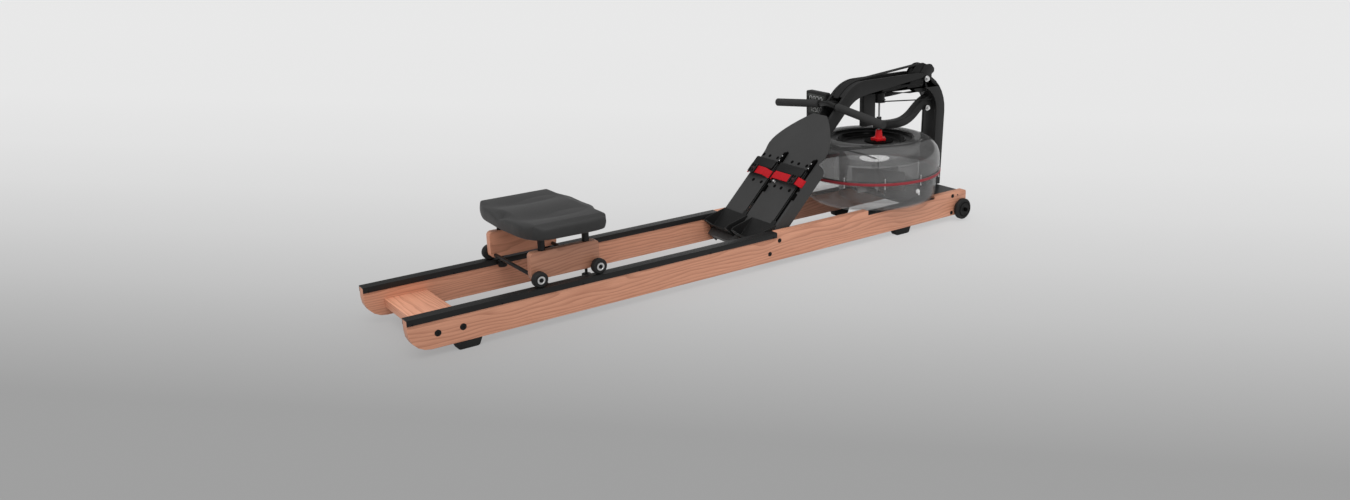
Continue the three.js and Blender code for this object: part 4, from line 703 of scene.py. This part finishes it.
# Black strips along the slot edges and black discs in the rows of holes are painted shade; the latch blocks
# are real parts.
latches_and_painted_shade = bmesh.new()
for slot_y in SLOT_YS:
    for sign in (-1, 1):
        y = slot_y + sign * STRIP_OFF
        box_on(latches_and_painted_shade, (STRIP_START, y - STRIP_HALF, -0.5), (STRIP_END, y + STRIP_HALF, 0.15), on_board)
for row, places in HOLE_ROWS:
    for y in places:
        rod(latches_and_painted_shade, on_board(row, y, -3.9), on_board(row, y, 0.12), HOLE_RADIUS, 20)
for slot_y in SLOT_YS:
    for start, end, low_y, high_y, height in LATCHES:
        box_on(latches_and_painted_shade, (start, slot_y + low_y, GAP), (end, slot_y + high_y, height), on_board)
piece_of(latches_and_painted_shade, "slot_latches_and_painted_shade", DEEP_BLACK, "frame", 0)

PIN_ALONGS, PIN_OFF = (224, 242), 5
STUD_ALONG, STUD_Y = 147, -4
pins = bmesh.new()
for slot_y in SLOT_YS:
    for along in PIN_ALONGS:
        rod(pins, on_board(along, slot_y + PIN_OFF, 4.5), on_board(along, slot_y + PIN_OFF, 5.6), 1.9, 16)
rod(pins, on_board(STUD_ALONG, STUD_Y, 0), on_board(STUD_ALONG, STUD_Y, 9), 3.4, 20)
piece_of(pins, "latch_pins", WHITE_PLASTIC, "frame", 0)

CAP_ALONG, CAP_YS, CAP_LIFT = 166, (114, -98), 24.5
CAP_SECTION = [(0, 0), (14.5, 0), (14.5, 2.2), (13, 3.4), (9, 3.4), (8, 2.4), (3, 2.4), (2.4, 3.2),
               (0, 3.2)]
caps = bmesh.new()
board_out = (on_board(0, 0, 1) - on_board(0, 0, 0)).normalized()
for y in CAP_YS:
    turned(CAP_SECTION, on_board(CAP_ALONG, y, CAP_LIFT), board_out, 40, caps)
piece_of(caps, "buckle_caps", BUCKLE_DARK, "frame", 0)

# Display
SEGMENTS = {"top": (0, 1, 1, 1), "upper_left": (0, 0.5, 0, 1), "upper_right": (1, 0.5, 1, 1),
            "middle": (0, 0.5, 1, 0.5), "lower_left": (0, 0, 0, 0.5), "lower_right": (1, 0, 1, 0.5),
            "bottom": (0, 0, 1, 0)}
LIT = {0: "top upper_left upper_right lower_left lower_right bottom", 1: "upper_right lower_right",
       2: "top upper_right middle lower_left bottom", 3: "top upper_right middle lower_right bottom",
       5: "top upper_left middle lower_right bottom"}
SEGMENT_SUNK, SEGMENT_PROUD = 0.0003, 0.0002
low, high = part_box("monitor_screen")
digits = bmesh.new()


def digit(value, left, bottom, wide, tall, stroke):
    """Seven-bar figure on the screen's face, read from the tail; left is at the larger y."""
    for name in LIT[value].split():
        x0, z0, x1, z1 = SEGMENTS[name]
        y0, y1 = left - x1 * wide, left - x0 * wide
        box_on(digits, (low.x - SEGMENT_SUNK, y0 - stroke / 2, bottom + z0 * tall - stroke / 2),
               (low.x + SEGMENT_PROUD, y1 + stroke / 2, bottom + z1 * tall + stroke / 2),
               lambda x, y, z: Vector((x, y, z)))


# Each row: its figures, then start, step, foot, width and height as parts of the screen, and the stroke
DIGIT_ROWS = (((0, 0, 2, 0), 0.10, 0.21, 0.55, 0.13, 0.34, 0.0026),
              ((1, 2, 5, 0, 3), 0.12, 0.16, 0.12, 0.09, 0.24, 0.002))
screen_wide, screen_tall = high.y - low.y, high.z - low.z
for figures, start, step, foot, wide, tall, stroke in DIGIT_ROWS:
    for k, value in enumerate(figures):
        digit(value, high.y - screen_wide * (start + step * k), low.z + screen_tall * foot,
              screen_wide * wide, screen_tall * tall, stroke)
piece_of(digits, "screen_digits", LCD_SEGMENT, "monitor", 0)

# Seat cushion, grown from the pad's own form
CUSHION_GRAIN, SETTLE_ROUNDS = 0.0034, 8
PAD_TAIL, PAD_NOSE, PAD_HALF_WIDTH, CREST_DROP, TOP_DEPTH = 348, 590, 182, 2, 17
RIM_EASE_X, RIM_EASE_Y = 22, 18
HOLLOW_X, HOLLOW_Y, HOLLOW_REACH_X, HOLLOW_REACH_Y, HOLLOW_DEPTH = 452, 88, 100, 38, 8.0
RIM_RISE, RIDGE_RISE, RIDGE_REACH = 4.0, 1.5, 40
form = bmesh.new()
form.from_mesh(nodes["seat_pad"].data)
bmesh.ops.remove_doubles(form, verts=form.verts, dist=WELD_REACH)
cushion = piece_of(form, "seat_cushion", PAD_SKIN, None, 0)
cushion.modifiers.clear()
even = cushion.modifiers.new("even", "REMESH")
even.mode = "VOXEL"
even.voxel_size = CUSHION_GRAIN
even.use_smooth_shade = True
settle = cushion.modifiers.new("settle", "SMOOTH")
settle.factor = 0.5
settle.iterations = SETTLE_ROUNDS
for kept in ("even", "settle"):
    with bpy.context.temp_override(object=cushion, active_object=cushion, selected_objects=[cushion]):
        bpy.ops.object.modifier_apply(modifier=kept)


def pad_height(x, y):
    """The least rise of the pad's top in millimetres: two hollows between raised rims."""
    hollow = math.exp(-(((abs(y) - HOLLOW_Y) / HOLLOW_REACH_Y) ** 2)
                      - ((x - HOLLOW_X) / HOLLOW_REACH_X) ** 2)
    ridge = math.exp(-((y / RIDGE_REACH) ** 2)) * RIDGE_RISE
    return RIM_RISE - HOLLOW_DEPTH * hollow + ridge


pad_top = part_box("seat_pad")[1].z
crest = pad_top - CREST_DROP * MM
for corner in cushion.data.vertices:
    x, y = (corner.co.x - TAIL_X) / MM, corner.co.y / MM
    inwards = min((x - PAD_TAIL) / RIM_EASE_X, (PAD_NOSE - x) / RIM_EASE_X,
                  (PAD_HALF_WIDTH - abs(y)) / RIM_EASE_Y, 1)
    if inwards > 0 and corner.co.z > pad_top - TOP_DEPTH * MM:
        ease = inwards * inwards * (3 - 2 * inwards)
        rise = crest + pad_height(x, y) * MM - corner.co.z
        if rise > 0:
            corner.co.z += rise * ease
for polygon in cushion.data.polygons:
    polygon.use_smooth = True
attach(cushion, "seat")
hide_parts("seat_pad")

# Belt: one strap that stretches between its bend over the arch and the handle
BELT_TAIL = 0.02
form = bmesh.new()
form.from_mesh(nodes["belt"].data)
bmesh.ops.remove_doubles(form, verts=form.verts, dist=WELD_REACH)
strap = piece_of(form, "pull_belt", BELT_BLACK, None, 0)
belt_end = min(strap.data.vertices, key=lambda v: v.co.x).co.copy()
beyond = [v.co for v in strap.data.vertices if v.co.x > belt_end.x + BELT_TAIL]
bend_start = min(beyond, key=lambda place: place.x).copy()
belt_end.y = bend_start.y = 0
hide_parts("belt")
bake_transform(strap, "frame", "handle", bend_start, belt_end)

# Stage: camera, pale floor, soft light
CAMERA_PLACE = at(-898.2, -2818.3, 1138)
YAW, PITCH, ROLL = 0.6777, -0.2701, -0.006
FOCAL_PIXELS, CENTRE_X, CENTRE_Y = 1121.69, 789.19, 204.14
PHOTO_WIDTH, PHOTO_HEIGHT = 1350, 500

forward = Vector((math.sin(YAW) * math.cos(PITCH), math.cos(YAW) * math.cos(PITCH), math.sin(PITCH)))
camera = bpy.data.objects.new("camera", bpy.data.cameras.new("camera"))
bpy.context.scene.collection.objects.link(camera)
camera.data.sensor_fit = "HORIZONTAL"
camera.data.lens = FOCAL_PIXELS / PHOTO_WIDTH * camera.data.sensor_width
camera.data.shift_x = (PHOTO_WIDTH / 2 - CENTRE_X) / PHOTO_WIDTH
camera.data.shift_y = (CENTRE_Y - PHOTO_HEIGHT / 2) / PHOTO_WIDTH
camera.data.clip_end = 200
turn = forward.to_track_quat("-Z", "Y").to_matrix() @ Matrix.Rotation(ROLL, 3, "Z")
camera.matrix_world = Matrix.Translation(CAMERA_PLACE) @ turn.to_4x4()
bpy.context.scene.camera = camera
bpy.context.scene.view_settings.view_transform = "Standard"
bpy.context.scene.cycles.transparent_max_bounces = 32

FLOOR_RADIUS = 60
floor_mesh = bmesh.new()
bmesh.ops.create_circle(floor_mesh, cap_ends=True, segments=64, radius=FLOOR_RADIUS)
floor_data = bpy.data.meshes.new("floor")
floor_mesh.to_mesh(floor_data)
floor_mesh.free()
floor = bpy.data.objects.new("floor", floor_data)
bpy.context.scene.collection.objects.link(floor)

# The paper's grey by its distance along one line over the floor, in metres: a painted falloff of light,
# darker near the camera and paler far off.
LEAN, REACH, GLOW_SHARE = 0.15, 9.0, 0.72
LINE_X, LINE_Y = math.sin(YAW) + LEAN * math.cos(YAW), math.cos(YAW) - LEAN * math.sin(YAW)
LINE_START = CAMERA_PLACE.x * LINE_X + CAMERA_PLACE.y * LINE_Y
PAPER_PAINTED_FALLOFF = [(2.2, 0.345), (2.6, 0.44), (3.0, 0.535), (3.5, 0.625), (4.1, 0.70), (4.8, 0.75), (6.0, 0.79),
               (9.0, 0.8)]
paper = Finish("studio_paper", roughness=0.95)
floor_x, floor_y, floor_z = paper.split(paper.place())
along = (floor_x * LINE_X + floor_y * LINE_Y - LINE_START) * (1 / REACH)
painted_falloff = paper.ramp(along, [(metres / REACH, grey(level)) for metres, level in PAPER_PAINTED_FALLOFF])
paper.set(base_color=painted_falloff, specular_ior_level=0.0)
glow = paper.node("ShaderNodeEmission", None, {"Color": painted_falloff})
seen = paper.node("ShaderNodeLightPath", output="Is Camera Ray")
shine = paper.node("ShaderNodeLightPath", output="Is Glossy Ray")
both = paper.node("ShaderNodeMixShader", None, {0: seen.maths("MAXIMUM", seen, shine) * GLOW_SHARE})
paper.tree.links.new(paper.shader.outputs[0], both.socket.node.inputs[1])
paper.tree.links.new(glow.socket, both.socket.node.inputs[2])
paper.tree.links.new(both.socket, paper.tree.nodes["Material Output"].inputs["Surface"])
floor.data.materials.append(paper.material)

# Light boxes that only gloss sees: dark at the sides, bright low down and overhead
BOX_TONES = ((0.0, 0.8), (0.09, 0.8), (0.17, 0.22), (0.58, 0.22), (0.74, 0.62), (1.0, 0.7))
SKY_LEVEL, SKY_STRENGTH = 0.78, 0.95
world = bpy.data.worlds.new("studio")
world.use_nodes = True
sky = world.node_tree
sky.nodes["Background"].inputs["Strength"].default_value = SKY_STRENGTH
height = sky.nodes.new("ShaderNodeSeparateXYZ")
sky.links.new(sky.nodes.new("ShaderNodeTexCoord").outputs["Generated"], height.inputs[0])
boxes = sky.nodes.new("ShaderNodeValToRGB")
while len(boxes.color_ramp.elements) < len(BOX_TONES):
    boxes.color_ramp.elements.new(1)
for stop, (place, level) in zip(boxes.color_ramp.elements, BOX_TONES):
    stop.position, stop.color = place, (*grey(level), 1)
sky.links.new(height.outputs[2], boxes.inputs[0])
rays = sky.nodes.new("ShaderNodeLightPath")
mixer = sky.nodes.new("ShaderNodeMix")
mixer.data_type = "RGBA"
mixer.inputs[6].default_value = (*grey(SKY_LEVEL), 1)
sky.links.new(rays.outputs["Is Glossy Ray"], mixer.inputs[0])
sky.links.new(boxes.outputs[0], mixer.inputs[7])
sky.links.new(mixer.outputs[2], sky.nodes["Background"].inputs["Color"])
bpy.context.scene.world = world

SUN_STRENGTH, SUN_SOFTNESS, SUN_WAY = 1.15, math.radians(40), Vector((0.42, 0.62, -1.1))
sun = bpy.data.objects.new("sun", bpy.data.lights.new("sun", "SUN"))
sun.data.energy = SUN_STRENGTH
sun.data.angle = SUN_SOFTNESS
sun.matrix_world = SUN_WAY.to_track_quat("-Z", "Y").to_matrix().to_4x4()
bpy.context.scene.collection.objects.link(sun)
